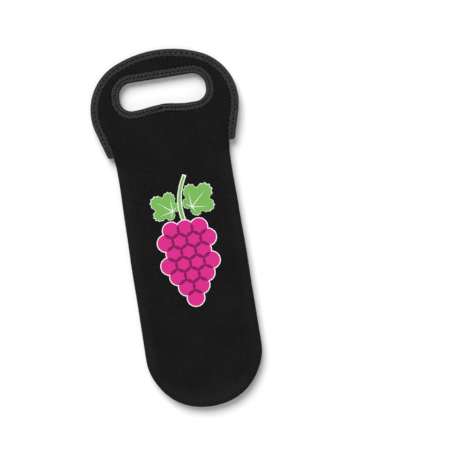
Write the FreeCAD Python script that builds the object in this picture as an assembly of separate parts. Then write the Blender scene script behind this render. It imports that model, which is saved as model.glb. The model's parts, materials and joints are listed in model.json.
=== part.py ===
"""A soft carrier for one bottle, lying flat: two neoprene panels sewn into a pouch, each with a bound handle.

X runs across the carrier, +Y towards the handles and +Z up through the thickness. The origin is the middle of
the face that it lies on. Lengths are millimetres.
"""

import FreeCAD
import Part

import math
import os

# Overall outline: each width follows from the pouch's, by what stands out past it
carrier_length = 392.4
handle_height = 108.8
pouch_width = 127.0
mouth_taper = 1.3
tape_overhang = 7.6
handle_bulge = 11.2
arch_top_share = 0.741
arch_side_share = 0.524
bottom_radius_share = 0.5906
bottom_corner_share = 0.4725

# Neoprene laminate, and the pouch that its turned seam makes
knit_thickness = 0.4
foam_thickness = 2.2
lining_thickness = 0.4
pouch_gap = 6.4
seam_allowance = 8.5
crease_radius = 1.6
edge_flat = 0.2

# Binding tape, which presses the foam thin
binding_width = 8.0
tape_thickness = 0.6
pressed_foam_thickness = 1.2
tape_edge_radius = 0.9
tape_corner_radius = 1.8
stitched_strip_width = 4.4
stitch_depth = 0.3

# Grip hole
grip_length = 95.2
grip_height = 31.2
grip_corner_share = 0.423
grip_top_margin = 30.8
grip_rise = 2.6

# Thread
rim_stitch_length = 3.0
grip_stitch_length = 2.1
zigzag_width = 2.6
thread_width = 0.8
seam_thread_radius = 0.35
tack_radius = 0.55
tack_length = 9.0

# Clearances, the overrun of every cut, and how near counts as touching
fold_gap = 0.6
handle_clearance = 0.3
thread_clearance = 0.05
overrun = 12.0
touch_tolerance = 0.02

# Widths and radii that follow from the sizes above
mouth_width = pouch_width - 2 * mouth_taper
neck_width = mouth_width + 2 * tape_overhang
handle_width = neck_width + 2 * handle_bulge
arch_top_radius = arch_top_share * handle_width
arch_side_radius = arch_side_share * handle_height
bottom_radius = bottom_radius_share * pouch_width
bottom_corner_radius = bottom_corner_share * pouch_width
grip_corner_radius = grip_corner_share * grip_height

# Heights and places that follow from the sizes above
panel_thickness = knit_thickness + foam_thickness + lining_thickness
carrier_thickness = 2 * panel_thickness + pouch_gap
middle_z = carrier_thickness / 2
edge_radius = middle_z - crease_radius - edge_flat
pressed_thickness = knit_thickness + pressed_foam_thickness + lining_thickness
bound_thickness = pressed_thickness + 2 * tape_thickness
fold_y = carrier_length / 2 - handle_height
bottom_y = -carrier_length / 2
flat_length = handle_height + carrier_length
droop_rise = carrier_thickness - 2 * bound_thickness - handle_clearance
droop_angle = math.degrees(math.asin(droop_rise / handle_height))


class Track:
    """A chain of lines and arcs, each tangent to the one before it, with the material on its left."""

    def __init__(self, x, y, heading):
        self.at = FreeCAD.Vector(x, y, 0)
        self.heading = heading
        self.pieces = []

    def line(self, length):
        """Goes straight on."""
        self.pieces.append((self.at, self.heading, length, None))
        self.at = self.at + direction(self.heading) * length

    def turn(self, radius, angle):
        """Goes round an arc, to the left for a positive angle in degrees."""
        signed = math.copysign(radius, angle)
        self.pieces.append((self.at, self.heading, radius * math.radians(abs(angle)), signed))
        centre = self.at + direction(self.heading + 90) * signed
        self.heading += angle
        self.at = centre - direction(self.heading + 90) * signed

    def length(self):
        """Length of the whole track."""
        return sum(length for _, _, length, _ in self.pieces)

    def point(self, distance, inset):
        """Point at a distance along the track, moved to its left by the inset."""
        for start, heading, length, radius in self.pieces:
            if distance <= length:
                return along(start, heading, radius, distance, inset)
            distance -= length
        start, heading, length, radius = self.pieces[-1]
        return along(start, heading, radius, length, inset)

    def edges(self, inset):
        """The track's lines and arcs, moved to its left by the inset."""
        made = []
        for start, heading, length, radius in self.pieces:
            ends = [along(start, heading, radius, length * share, inset) for share in (0, 0.5, 1)]
            made.append(Part.LineSegment(ends[0], ends[2]) if radius is None else Part.Arc(*ends))
        return [curve.toShape() for curve in made]

    def face(self, inset):
        """Flat face inside the track, closed by a straight line where the track is open."""
        edges = self.edges(inset)
        first = self.point(0, inset)
        last = self.point(self.length(), inset)
        if not first.isEqual(last, touch_tolerance):
            edges.append(Part.LineSegment(last, first).toShape())
        return Part.Face(Part.Wire(Part.__sortEdges__(edges)))


def direction(heading):
    """Unit vector at a heading in degrees, turned left from +X."""
    return FreeCAD.Vector(math.cos(math.radians(heading)), math.sin(math.radians(heading)), 0)


def along(start, heading, radius, distance, inset):
    """Point at a distance along one line or arc, moved to its left by the inset."""
    if radius is None:
        return start + direction(heading) * distance + direction(heading + 90) * inset
    centre = start + direction(heading + 90) * radius
    turned = heading + math.degrees(distance / radius)
    return centre - direction(turned + 90) * (radius - inset)


def arch_track():
    """Outer edge of the rim binding, from past the right end of the fold line over the top to past the left end."""
    side_x = handle_width / 2 - arch_side_radius
    top_y = carrier_length / 2 - arch_top_radius
    side_y = top_y + math.sqrt((arch_top_radius - arch_side_radius) ** 2 - side_x**2)
    top_angle = math.degrees(math.atan2(side_x, side_y - top_y))
    across = neck_width / 2 - side_x
    rise = side_y - fold_y
    reach = math.hypot(across, rise)
    heading = math.degrees(math.atan2(rise, -across) - math.asin(arch_side_radius / reach))
    neck_length = math.sqrt(reach**2 - arch_side_radius**2) + overrun
    side_angle = 180 - heading - top_angle
    start = FreeCAD.Vector(neck_width / 2, fold_y, 0) - direction(heading) * overrun
    track = Track(start.x, start.y, heading)
    track.line(neck_length)
    track.turn(arch_side_radius, side_angle)
    track.turn(arch_top_radius, 2 * top_angle)
    track.turn(arch_side_radius, side_angle)
    track.line(neck_length)
    return track


def pouch_track():
    """Edge of the pouch, from past the left end of the fold line round the bottom to past the right end."""
    corner_x = pouch_width / 2 - bottom_corner_radius
    drop = math.sqrt((bottom_radius - bottom_corner_radius) ** 2 - corner_x**2)
    corner_y = bottom_y + bottom_radius - drop
    bottom_angle = math.degrees(math.atan2(corner_x, drop))
    across = mouth_width / 2 - corner_x
    rise = fold_y - corner_y
    reach = math.hypot(across, rise)
    lean = math.degrees(math.atan2(rise, across) - math.acos(bottom_corner_radius / reach))
    side_length = math.sqrt(reach**2 - bottom_corner_radius**2) + overrun
    start = direction(lean) * bottom_corner_radius + direction(lean + 90) * side_length
    track = Track(-corner_x - start.x, corner_y + start.y, -90 - lean)
    track.line(side_length)
    track.turn(bottom_corner_radius, 90 + lean - bottom_angle)
    track.turn(bottom_radius, 2 * bottom_angle)
    track.turn(bottom_corner_radius, 90 + lean - bottom_angle)
    track.line(side_length)
    return track


def grip_track():
    """Edge of the grip hole, walked clockwise from the middle of its lower edge, where the tape ends lap."""
    straight = grip_length / 2 - grip_corner_radius
    upright = grip_height - 2 * grip_corner_radius
    lap_radius = (straight**2 + grip_rise**2) / (4 * grip_rise)
    lap_angle = math.degrees(math.asin(straight / (2 * lap_radius)))
    low_y = carrier_length / 2 - grip_top_margin - grip_height
    track = Track(0, low_y + grip_rise, 180)
    track.turn(lap_radius, lap_angle)
    track.turn(lap_radius, -lap_angle)
    track.turn(grip_corner_radius, -90)
    track.line(upright)
    track.turn(grip_corner_radius, -90)
    track.line(2 * straight)
    track.turn(grip_corner_radius, -90)
    track.line(upright)
    track.turn(grip_corner_radius, -90)
    track.turn(lap_radius, -lap_angle)
    track.turn(lap_radius, lap_angle)
    return track


ARCH = arch_track()
POUCH = pouch_track()
GRIP = grip_track()


def prism(face, low_z, high_z):
    """Upright solid on a flat outline."""
    raised = face.copy()
    raised.translate(FreeCAD.Vector(0, 0, low_z))
    return raised.extrude(FreeCAD.Vector(0, 0, high_z - low_z))


def half_space(low_y, high_y):
    """Block across the whole carrier between two places along its length."""
    corner = FreeCAD.Vector(-handle_width, low_y, -carrier_thickness)
    return Part.makeBox(2 * handle_width, high_y - low_y, 3 * carrier_thickness, corner)


def level_edges(solid, level):
    """Edges of a solid that lie flat at one height."""
    flat = [e for e in solid.Edges if e.BoundBox.ZLength < touch_tolerance]
    return [e for e in flat if abs(e.BoundBox.ZMin - level) < touch_tolerance]


def pouch_block(inset):
    """Front half of the closed pouch with its rounded edge, drawn in by the inset on every side."""
    low_z = middle_z + inset
    high_z = carrier_thickness - inset
    block = prism(POUCH.face(inset), low_z, high_z)
    block = block.makeFillet(edge_radius - inset, level_edges(block, high_z))
    block = block.makeFillet(crease_radius - inset, level_edges(block, low_z))
    return block.common(half_space(bottom_y - overrun, fold_y))


def pocket(low_z, high_z):
    """Space inside the seam allowance, open at the mouth."""
    return prism(POUCH.face(seam_allowance), low_z, high_z).common(half_space(bottom_y, fold_y))


def front_outer_knit():
    """Outer knit of the front, turned round the edge and in under the seam allowance."""
    shell = pouch_block(0).cut(pouch_block(knit_thickness))
    return shell.cut(pocket(middle_z - overrun, carrier_thickness - panel_thickness))


def front_foam_core():
    """Foam of the front, with the turned allowance as its thick border."""
    ceiling = carrier_thickness - knit_thickness - foam_thickness
    return pouch_block(knit_thickness).cut(pocket(middle_z - overrun, ceiling))


def front_lining():
    """Inner knit of the front, on the pocket's ceiling."""
    ceiling = carrier_thickness - knit_thickness - foam_thickness
    return pocket(ceiling - lining_thickness, ceiling)


def seam_run(radius):
    """Inset at which a thread of this radius beds in the crease between the two panels."""
    reach = crease_radius + radius + thread_clearance
    return crease_radius - math.sqrt(reach**2 - crease_radius**2)


def seam_tube(radius, start, end):
    """Thread lying in the crease between two places along the carrier's length."""
    inset = seam_run(radius)
    edges = POUCH.edges(inset)
    spine = Part.Wire(Part.__sortEdges__(edges))
    spine.translate(FreeCAD.Vector(0, 0, middle_z))
    first = POUCH.point(0, inset) + FreeCAD.Vector(0, 0, middle_z)
    ring = Part.Circle(first, direction(POUCH.pieces[0][1]), radius).toShape()
    tube = spine.makePipeShell([Part.Wire(ring)], True, False)
    return tube.common(half_space(start, end))


def side_seam_thread():
    """Seam thread from one tack round the bottom to the other."""
    return seam_tube(seam_thread_radius, bottom_y - overrun, fold_y - tack_length)


def seam_tack(side):
    """Dense end of the side seam at the mouth, on the left for -1 and on the right for 1."""
    both = seam_tube(tack_radius, fold_y - tack_length, fold_y)
    return next(s for s in both.Solids if s.CenterOfMass.x * side > 0)


def handle_face(inset):
    """Outline of the handle round its grip hole, drawn in by the inset from both edges."""
    return ARCH.face(inset).cut(GRIP.face(inset))


def handle_slab(outer, inner, low, high):
    """Layer of the handle between two insets and two heights above the handle's middle plane."""
    face = handle_face(outer)
    if inner:
        face = face.cut(handle_face(inner))
    return prism(face, low, high)


def end_corner(side):
    """What is cut away to round the outer corner at one end of the rim: -1 on the left, 1 on the right."""
    heading = ARCH.pieces[0][1]
    slope = math.radians(heading)
    travel = (fold_gap + tape_corner_radius * (1 - math.cos(slope))) / math.sin(slope)
    centre = ARCH.point(overrun + travel, tape_corner_radius)
    aims = (-90, heading / 2 - 90, heading - 90)
    fan = [centre] + [centre + direction(aim) * overrun for aim in aims]
    wedge = prism(Part.Face(Part.makePolygon(fan + fan[:1])), -carrier_thickness, carrier_thickness)
    low = centre - FreeCAD.Vector(0, 0, carrier_thickness)
    corner = wedge.cut(Part.makeCylinder(tape_corner_radius, 2 * carrier_thickness, low))
    return corner if side > 0 else corner.mirror(FreeCAD.Vector(), FreeCAD.Vector(1, 0, 0))


def finish_handle(solid):
    """Cuts a handle piece off at the fold line, rounds its ends and lifts it to the front handle's height."""
    solid = solid.common(half_space(fold_y + fold_gap, flat_length))
    solid = solid.cut([end_corner(-1), end_corner(1)]).removeSplitter()
    solid.translate(FreeCAD.Vector(0, 0, carrier_thickness - bound_thickness / 2))
    return solid


def handle_knit(thickness, sign):
    """One knit face of the handle: it steps down from the full panel to the pressed strip under the tape."""
    pressed = pressed_foam_thickness / 2
    full = foam_thickness / 2
    border = handle_slab(tape_thickness, binding_width + thickness, pressed, pressed + thickness)
    step = handle_slab(binding_width, binding_width + thickness, pressed, full + thickness)
    field = handle_slab(binding_width, 0, full, full + thickness)
    knit = border.fuse([step, field]).removeSplitter()
    if sign < 0:
        knit = knit.mirror(FreeCAD.Vector(), FreeCAD.Vector(0, 0, 1))
    return finish_handle(knit)


def handle_foam():
    """Foam of the handle, thin under the tape."""
    pressed = pressed_foam_thickness / 2
    full = foam_thickness / 2
    border = handle_slab(tape_thickness, 0, -pressed, pressed)
    low = handle_slab(binding_width + lining_thickness, 0, -full, 0)
    high = handle_slab(binding_width + knit_thickness, 0, 0, full)
    return finish_handle(border.fuse([low, high]).removeSplitter())


def ring_face(track, outer, inner):
    """Band along a track between two insets, for the arch or for the grip hole."""
    if track is GRIP:
        return track.face(inner).cut(track.face(outer))
    return track.face(outer).cut(track.face(inner))


def binding(track):
    """Tape folded over an edge: two faces and the fold, with a lower strip where the stitches pull it in."""
    half = bound_thickness / 2
    inside = pressed_thickness / 2
    tape = prism(ring_face(track, 0, binding_width), -half, half)
    rounded = [e for level in (half, -half) for e in level_edges(tape, level) if on_track(track, e)]
    tape = tape.makeFillet(tape_edge_radius, rounded)
    tape = tape.cut(prism(ring_face(track, tape_thickness, binding_width + overrun), -inside, inside))
    strip = ring_face(track, binding_width - stitched_strip_width, binding_width + overrun)
    for low in (-half - overrun, half - stitch_depth):
        tape = tape.cut(prism(strip, low, low + overrun + stitch_depth))
    return finish_handle(tape)


def on_track(track, edge):
    """Tells whether an edge runs along the bound edge itself."""
    middle = edge.valueAt((edge.FirstParameter + edge.LastParameter) / 2)
    middle.z = 0
    near = Part.Wire(Part.__sortEdges__(track.edges(0))).distToShape(Part.Vertex(middle))[0]
    return near < touch_tolerance


def stitching(track, start, end, stitch_length, closed):
    """Zigzag thread in the lower strips of a tape, on both of its faces."""
    count = 2 * round((end - start) / (2 * stitch_length))
    centre = binding_width - stitched_strip_width / 2
    wave = [centre + (zigzag_width / 2 if k % 2 else -zigzag_width / 2) for k in range(count + 1)]
    places = [start + (end - start) * k / count for k in range(count + 1)]
    sides = []
    for shift in (-thread_width / 2, thread_width / 2):
        sides.append([track.point(at, inset + shift) for at, inset in zip(places, wave)])
    if closed:
        rings = [Part.Face(Part.makePolygon(side[:-1] + side[:1])) for side in sides]
        face = rings[1].cut(rings[0])
    else:
        face = Part.Face(Part.makePolygon(sides[0] + sides[1][::-1] + sides[0][:1]))
    top = bound_thickness / 2
    threads = [prism(face, top - stitch_depth, top), prism(face, -top, stitch_depth - top)]
    return finish_handle(Part.makeCompound([s for thread in threads for s in thread.Solids]))


def rim_stitching():
    """Zigzag along the rim binding, from one end of the tape to the other."""
    margin = overrun + fold_gap + rim_stitch_length
    return stitching(ARCH, margin, ARCH.length() - margin, rim_stitch_length, False)


def grip_stitching():
    """Zigzag round the grip binding."""
    return stitching(GRIP, 0, GRIP.length(), grip_stitch_length, True)


def drooped(solid):
    """Front handle piece turned down about the fold until it rests on the back handle."""
    turned = solid.copy()
    axis_point = FreeCAD.Vector(0, fold_y, carrier_thickness)
    turned.rotate(axis_point, FreeCAD.Vector(1, 0, 0), -droop_angle)
    return turned


def turned_over(solid):
    """Back piece made from a front one."""
    return solid.mirror(FreeCAD.Vector(0, 0, middle_z), FreeCAD.Vector(0, 0, 1))


def pieces():
    """Every piece of the carrier by the name of its node."""
    pouch = {
        "outer_knit": front_outer_knit(),
        "foam_core": front_foam_core(),
        "lining": front_lining(),
    }
    handle = {
        "handle_outer_knit": handle_knit(knit_thickness, 1),
        "handle_foam_core": handle_foam(),
        "handle_lining": handle_knit(lining_thickness, -1),
        "rim_binding": binding(ARCH),
        "grip_binding": binding(GRIP),
        "rim_stitching": rim_stitching(),
        "grip_stitching": grip_stitching(),
    }
    made = {"side_seam_thread": side_seam_thread()}
    made["left_seam_tack"] = seam_tack(-1)
    made["right_seam_tack"] = seam_tack(1)
    for name, solid in pouch.items():
        made[f"front_{name}"] = solid
        made[f"back_{name}"] = turned_over(solid)
    for name, solid in handle.items():
        made[f"front_{name}"] = drooped(solid)
        made[f"back_{name}"] = turned_over(solid)
    return made


os.makedirs("parts", exist_ok=True)
for node, shape in pieces().items():
    shape.exportStep(f"parts/{node}.step")
    print(node, len(shape.Solids), shape.isValid(), round(shape.Volume))
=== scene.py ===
"""Looks of a soft carrier for one bottle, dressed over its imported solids.

The carrier lies flat: X runs across it, +Y towards the handles and +Z up. Every piece is worked out flat
first, as it leaves the sewing machine, with its height measured from the seam plane between the two panels.
One rest shape then carries it into the way it lies. Lengths are millimetres until a mesh is made.
"""

import json
import logging
import math
from dataclasses import dataclass, field
from enum import Enum, IntEnum
from typing import Any, Sequence

import bpy
import numpy as np
from numpy.typing import NDArray
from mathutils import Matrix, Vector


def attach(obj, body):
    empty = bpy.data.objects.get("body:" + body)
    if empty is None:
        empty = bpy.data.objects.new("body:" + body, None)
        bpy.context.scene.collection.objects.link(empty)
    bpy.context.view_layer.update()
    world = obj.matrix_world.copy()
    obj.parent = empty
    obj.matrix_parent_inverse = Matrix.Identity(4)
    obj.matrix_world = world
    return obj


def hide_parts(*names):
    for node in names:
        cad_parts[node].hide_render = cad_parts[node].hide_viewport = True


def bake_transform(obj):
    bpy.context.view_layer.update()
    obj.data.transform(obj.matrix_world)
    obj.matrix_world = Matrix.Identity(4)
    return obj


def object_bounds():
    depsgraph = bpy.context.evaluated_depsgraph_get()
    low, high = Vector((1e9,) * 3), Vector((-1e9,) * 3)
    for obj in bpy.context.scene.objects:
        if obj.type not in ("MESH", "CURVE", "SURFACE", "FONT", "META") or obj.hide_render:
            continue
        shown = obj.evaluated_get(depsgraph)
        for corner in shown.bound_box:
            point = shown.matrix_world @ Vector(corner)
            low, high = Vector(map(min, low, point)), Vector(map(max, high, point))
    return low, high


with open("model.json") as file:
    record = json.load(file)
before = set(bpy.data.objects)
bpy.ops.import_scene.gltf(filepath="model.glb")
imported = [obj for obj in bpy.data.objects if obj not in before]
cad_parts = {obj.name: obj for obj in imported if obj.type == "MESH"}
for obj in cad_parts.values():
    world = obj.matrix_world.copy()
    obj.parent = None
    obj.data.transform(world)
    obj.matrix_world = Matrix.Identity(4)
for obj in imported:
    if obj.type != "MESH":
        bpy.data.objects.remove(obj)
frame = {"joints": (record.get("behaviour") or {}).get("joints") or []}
CAD_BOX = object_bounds()

Floats = NDArray[np.float64]
Ints = NDArray[np.int64]
Colour = tuple[float, float, float]

MM = 0.001
# Points no further apart than this are made one.
WELD = 1e-4
# A place that is out of reach of every seam.
FAR = 1e3
# Length of a zigzag, there and back, on each stretch of the edge that a tape is sewn to.
STITCHES = {
    "rim": (5.2, 5.6, 6.3, 5.6, 5.2),
    "grip": (4.2, 4.1, 2.5, 3.3, 2.55, 4.43, 2.55, 3.3, 2.5, 4.1, 4.2, 4.2),
}
log = logging.getLogger("carrier")


class Side(Enum):
    """The two panels of the carrier."""

    FRONT = "front"
    BACK = "back"

    @property
    def handle(self) -> str:
        """Name of the body that this side's handle is."""
        return f"{self.value}_handle"

    @property
    def up(self) -> float:
        """Which way this side faces from the seam plane."""
        return 1.0 if self is Side.FRONT else -1.0


class Ink(IntEnum):
    """The inks of the print, by their number in its mesh."""

    WHITE = 0
    MAGENTA = 1
    PLUM = 2
    GREEN = 3


def ease(share: Floats | float) -> Floats:
    """Smooth step: 0 up to 0, 1 from 1 on, and 3u² - 2u³ in between."""
    u = np.clip(share, 0.0, 1.0)
    return u * u * (3.0 - 2.0 * u)


def bell(distance: Floats | float, reach: float) -> Floats:
    """Bell curve: 1 at no distance, fading with the square of the distance over the reach."""
    return np.exp(-np.square(np.asarray(distance) / reach))


def crown(share: Floats | float, power: float) -> Floats:
    """Quarter of a superellipse: how high a rounded edge stands at a share of the way in from it."""
    inner = np.clip(1.0 - np.asarray(share), 0.0, 1.0)
    return (1.0 - inner**power) ** (1.0 / power)


@dataclass(frozen=True)
class Run:
    """One stretch of an outline: straight with a radius of 0, and a turn to the right with a negative one."""

    x: float
    y: float
    heading: float
    length: float
    radius: float

    @property
    def centre(self) -> tuple[float, float]:
        """Centre of a round stretch: a radius to the left of its start."""
        return (
            self.x - self.radius * math.sin(self.heading),
            self.y + self.radius * math.cos(self.heading),
        )

    def place(self, travel: Floats, inset: Floats) -> tuple[Floats, Floats]:
        """Points at a distance along the stretch, moved to its left by the inset.

        A straight stretch adds both along its own axes. A round one turns by the travel over the radius, and
        the inset shortens the radius.

        Args:
            travel: Distance along the stretch.
            inset: Distance to its left.

        Returns:
            The points' x and y.
        """
        if not self.radius:
            ahead, aside = math.cos(self.heading), math.sin(self.heading)
            return self.x + travel * ahead - inset * aside, self.y + travel * aside + inset * ahead
        turned = self.heading + travel / self.radius
        reach = self.radius - inset
        return self.centre[0] + reach * np.sin(turned), self.centre[1] - reach * np.cos(turned)

    def locate(self, x: Floats, y: Floats) -> tuple[Floats, Floats]:
        """How far along the stretch points are, and how far to its left: the inverse of place.

        Args:
            x: The points' x.
            y: The points' y.

        Returns:
            Travel and inset.
        """
        if not self.radius:
            ahead, aside = math.cos(self.heading), math.sin(self.heading)
            dx, dy = x - self.x, y - self.y
            return dx * ahead + dy * aside, dy * ahead - dx * aside
        sign = math.copysign(1.0, self.radius)
        dx, dy = sign * (x - self.centre[0]), sign * (y - self.centre[1])
        half = self.length / (2.0 * self.radius)
        turned = np.arctan2(dx, -dy) - self.heading - half
        turned = (turned + math.pi) % (2.0 * math.pi) - math.pi + half
        return turned * self.radius, self.radius - sign * np.hypot(dx, dy)


class Track:
    """A chain of stretches, each tangent to the one before it, with the cloth on its left."""

    near = 0.05

    def __init__(self, x: float, y: float, heading: float) -> None:
        """Starts a track at a point, with a heading in degrees turned left from +X."""
        self.x, self.y, self.heading = x, y, math.radians(heading)
        self.runs: list[Run] = []

    def go(self, length: float, radius: float = 0.0) -> "Track":
        """Adds a stretch and moves to its end.

        Args:
            length: Length of the stretch.
            radius: Its radius, 0 for straight on and negative for a turn to the right.

        Returns:
            The track itself.
        """
        run = Run(self.x, self.y, self.heading, length, radius)
        self.runs.append(run)
        end_x, end_y = run.place(np.float64(length), np.float64(0.0))
        self.x, self.y = float(end_x), float(end_y)
        self.heading += length / radius if radius else 0.0
        return self

    def turn(self, radius: float, degrees: float) -> "Track":
        """Adds an arc, to the left for a positive angle in degrees."""
        return self.go(radius * math.radians(abs(degrees)), math.copysign(radius, degrees))

    @property
    def ends(self) -> Floats:
        """Distance along the track at which each stretch ends."""
        return np.cumsum([run.length for run in self.runs])

    @property
    def length(self) -> float:
        """Length of the whole track."""
        return float(self.ends[-1])

    def stations(self, step: float) -> Floats:
        """Distances along the track about a step apart, with every stretch divided evenly.

        Args:
            step: The wanted spacing.

        Returns:
            The distances, from 0 to the track's length.
        """
        starts = self.ends - [run.length for run in self.runs]
        parts = [
            start + run.length * np.arange(count) / count
            for start, run in zip(starts, self.runs)
            for count in [max(1, round(run.length / step))]
        ]
        return np.append(np.concatenate(parts), self.length)

    def place(self, travel: Floats, inset: Floats | float) -> tuple[Floats, Floats]:
        """Points at distances along the track, moved to its left by the inset.

        Args:
            travel: Distance along the track; past its ends the end stretches go on.
            inset: Distance to its left.

        Returns:
            The points' x and y.
        """
        travel, inset = np.broadcast_arrays(np.asarray(travel, float), np.asarray(inset, float))
        which = np.clip(np.searchsorted(self.ends, travel), 0, len(self.runs) - 1)
        spots = [
            run.place(travel - end + run.length, inset) for run, end in zip(self.runs, self.ends)
        ]
        return tuple(np.choose(which, [spot[axis] for spot in spots]) for axis in (0, 1))

    def inset(self, x: Floats, y: Floats) -> Floats:
        """Distance of points to the left of the track, by the nearest stretch that they are abreast of.

        Args:
            x: The points' x.
            y: The points' y.

        Returns:
            The distances, infinite where no stretch is abreast.
        """
        found = []
        for index, run in enumerate(self.runs):
            travel, inset = run.locate(x, y)
            abreast = (travel > -self.near) & (travel < run.length + self.near)
            if not run.radius:
                abreast |= (travel < 0.0) & (index == 0)
                abreast |= (travel > 0.0) & (index == len(self.runs) - 1)
            found.append(np.where(abreast, inset, np.inf))
        stacked = np.stack(found)
        return np.take_along_axis(stacked, np.abs(stacked).argmin(0)[None], 0)[0]


@dataclass(frozen=True)
class CarrierSizes:
    """Sizes of the carrier.

    The first four are read from the frame. The rest are the solids' own, but for the radius of the arch's
    top, which is a little shorter, so that its shoulders fall.
    """

    length: float
    handle_width: float
    thickness: float
    fold_y: float
    pouch_width: float = 127.0
    mouth_taper: float = 1.3
    tape_overhang: float = 7.6
    arch_top_share: float = 0.722
    arch_side_share: float = 0.524
    bottom_radius_share: float = 0.5906
    bottom_corner_share: float = 0.4725
    panel: float = 3.0
    allowance: float = 8.5
    crease_radius: float = 1.6
    edge_flat: float = 0.2
    tape_width: float = 8.0
    tape_thickness: float = 0.6
    pressed_half: float = 1.0
    grip_length: float = 95.2
    grip_height: float = 31.2
    grip_corner_share: float = 0.423
    grip_top_margin: float = 30.8
    grip_rise: float = 2.6

    @classmethod
    def from_frame(cls) -> "CarrierSizes":
        """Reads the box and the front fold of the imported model."""
        low, high = CAD_BOX
        fold = next(joint for joint in frame["joints"] if joint["name"] == "front_handle_fold")
        return cls(
            length=2.0 * high.y / MM,
            handle_width=(high.x - low.x) / MM,
            thickness=fold["pos_m"][2] / MM,
            fold_y=fold["pos_m"][1] / MM,
        )

    @property
    def mouth_half(self) -> float:
        """Half the pouch's width at its mouth."""
        return self.pouch_width / 2.0 - self.mouth_taper

    @property
    def neck_half(self) -> float:
        """Half the handle's width at the fold."""
        return self.mouth_half + self.tape_overhang

    @property
    def seam_z(self) -> float:
        """Height of the seam plane above the floor, and of each panel's outer face above the seam plane."""
        return self.thickness / 2.0

    @property
    def ceiling(self) -> float:
        """Height of a panel's inner face above the seam plane."""
        return self.seam_z - self.panel

    @property
    def handle_height(self) -> float:
        """How far the handle reaches past the fold."""
        return self.length / 2.0 - self.fold_y


class Outlines:
    """The three edges that the panels are cut to: the handle's arch, the pouch and the grip hole.

    As sewn, the crest of the grip's lower edge stands left of the middle, its right end is level, and its
    upper corners are rounder than the lower ones.
    """

    crest_x = -3.0
    level = 11.0
    upper_share = 0.465
    area_step = 0.5

    def __init__(self, sizes: CarrierSizes) -> None:
        """Works the outlines out from the sizes."""
        self.sizes = sizes
        self.arch = self._arch()
        self.pouch = self._pouch()
        self.grip = self._grip()

    def _arch(self) -> Track:
        """Edge of the rim tape, from the right end of the fold over the top to the left end."""
        sizes = self.sizes
        top, side = sizes.arch_top_share * sizes.handle_width, sizes.arch_side_share * sizes.handle_height
        side_x = sizes.handle_width / 2.0 - side
        top_y = sizes.length / 2.0 - top
        side_y = top_y + math.sqrt((top - side) ** 2 - side_x**2)
        top_angle = math.degrees(math.atan2(side_x, side_y - top_y))
        across, rise = sizes.neck_half - side_x, side_y - sizes.fold_y
        reach = math.hypot(across, rise)
        heading = math.degrees(math.atan2(rise, -across) - math.asin(side / reach))
        neck, side_angle = math.sqrt(reach**2 - side**2), 180.0 - heading - top_angle
        track = Track(sizes.neck_half, sizes.fold_y, heading)
        track.go(neck).turn(side, side_angle).turn(top, 2.0 * top_angle)
        return track.turn(side, side_angle).go(neck)

    def _pouch(self) -> Track:
        """Edge of the pouch, from the left end of the fold round the bottom to the right end."""
        sizes = self.sizes
        bottom = sizes.bottom_radius_share * sizes.pouch_width
        corner = sizes.bottom_corner_share * sizes.pouch_width
        corner_x = sizes.pouch_width / 2.0 - corner
        drop = math.sqrt((bottom - corner) ** 2 - corner_x**2)
        corner_y = bottom - drop - sizes.length / 2.0
        bottom_angle = math.degrees(math.atan2(corner_x, drop))
        across, rise = sizes.mouth_half - corner_x, sizes.fold_y - corner_y
        reach = math.hypot(across, rise)
        lean = math.degrees(math.atan2(rise, across) - math.acos(corner / reach))
        straight = math.sqrt(reach**2 - corner**2)
        track = Track(-sizes.mouth_half, sizes.fold_y, -90.0 - lean)
        track.go(straight).turn(corner, 90.0 + lean - bottom_angle).turn(bottom, 2.0 * bottom_angle)
        return track.turn(corner, 90.0 + lean - bottom_angle).go(straight)

    def _grip(self) -> Track:
        """Edge of the grip hole, clockwise from the crest of its lower edge, where the tape's ends lap."""
        sizes = self.sizes
        corner, upper = sizes.grip_corner_share * sizes.grip_height, self.upper_share * sizes.grip_height
        straight, upright = sizes.grip_length / 2.0 - corner, sizes.grip_height - corner - upper
        low_y = sizes.length / 2.0 - sizes.grip_top_margin - sizes.grip_height
        left_radius, left_angle = self._fall(straight + self.crest_x)
        right_radius, right_angle = self._fall(straight - self.crest_x - self.level)
        track = Track(self.crest_x, low_y + sizes.grip_rise, 180.0)
        track.turn(left_radius, left_angle).turn(left_radius, -left_angle)
        track.turn(corner, -90.0).go(upright).turn(upper, -90.0).go(sizes.grip_length - 2.0 * upper)
        track.turn(upper, -90.0).go(upright).turn(corner, -90.0).go(self.level)
        return track.turn(right_radius, -right_angle).turn(right_radius, right_angle)

    def _fall(self, span: float) -> tuple[float, float]:
        """Radius and angle in degrees of the two arcs that lead down from the crest over a span."""
        rise = self.sizes.grip_rise
        radius = (span**2 + rise**2) / (4.0 * rise)
        return radius, math.degrees(math.asin(span / (2.0 * radius)))

    def enclosed(self, track: Track, inset: float = 0.0) -> float:
        """Area inside an outline by the shoelace sum, in square millimetres.

        Args:
            track: The outline.
            inset: How far it is drawn in.

        Returns:
            The area.
        """
        x, y = track.place(track.stations(self.area_step), inset)
        return 0.5 * abs(float(np.sum(x * np.roll(y, -1) - y * np.roll(x, -1))))


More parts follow.
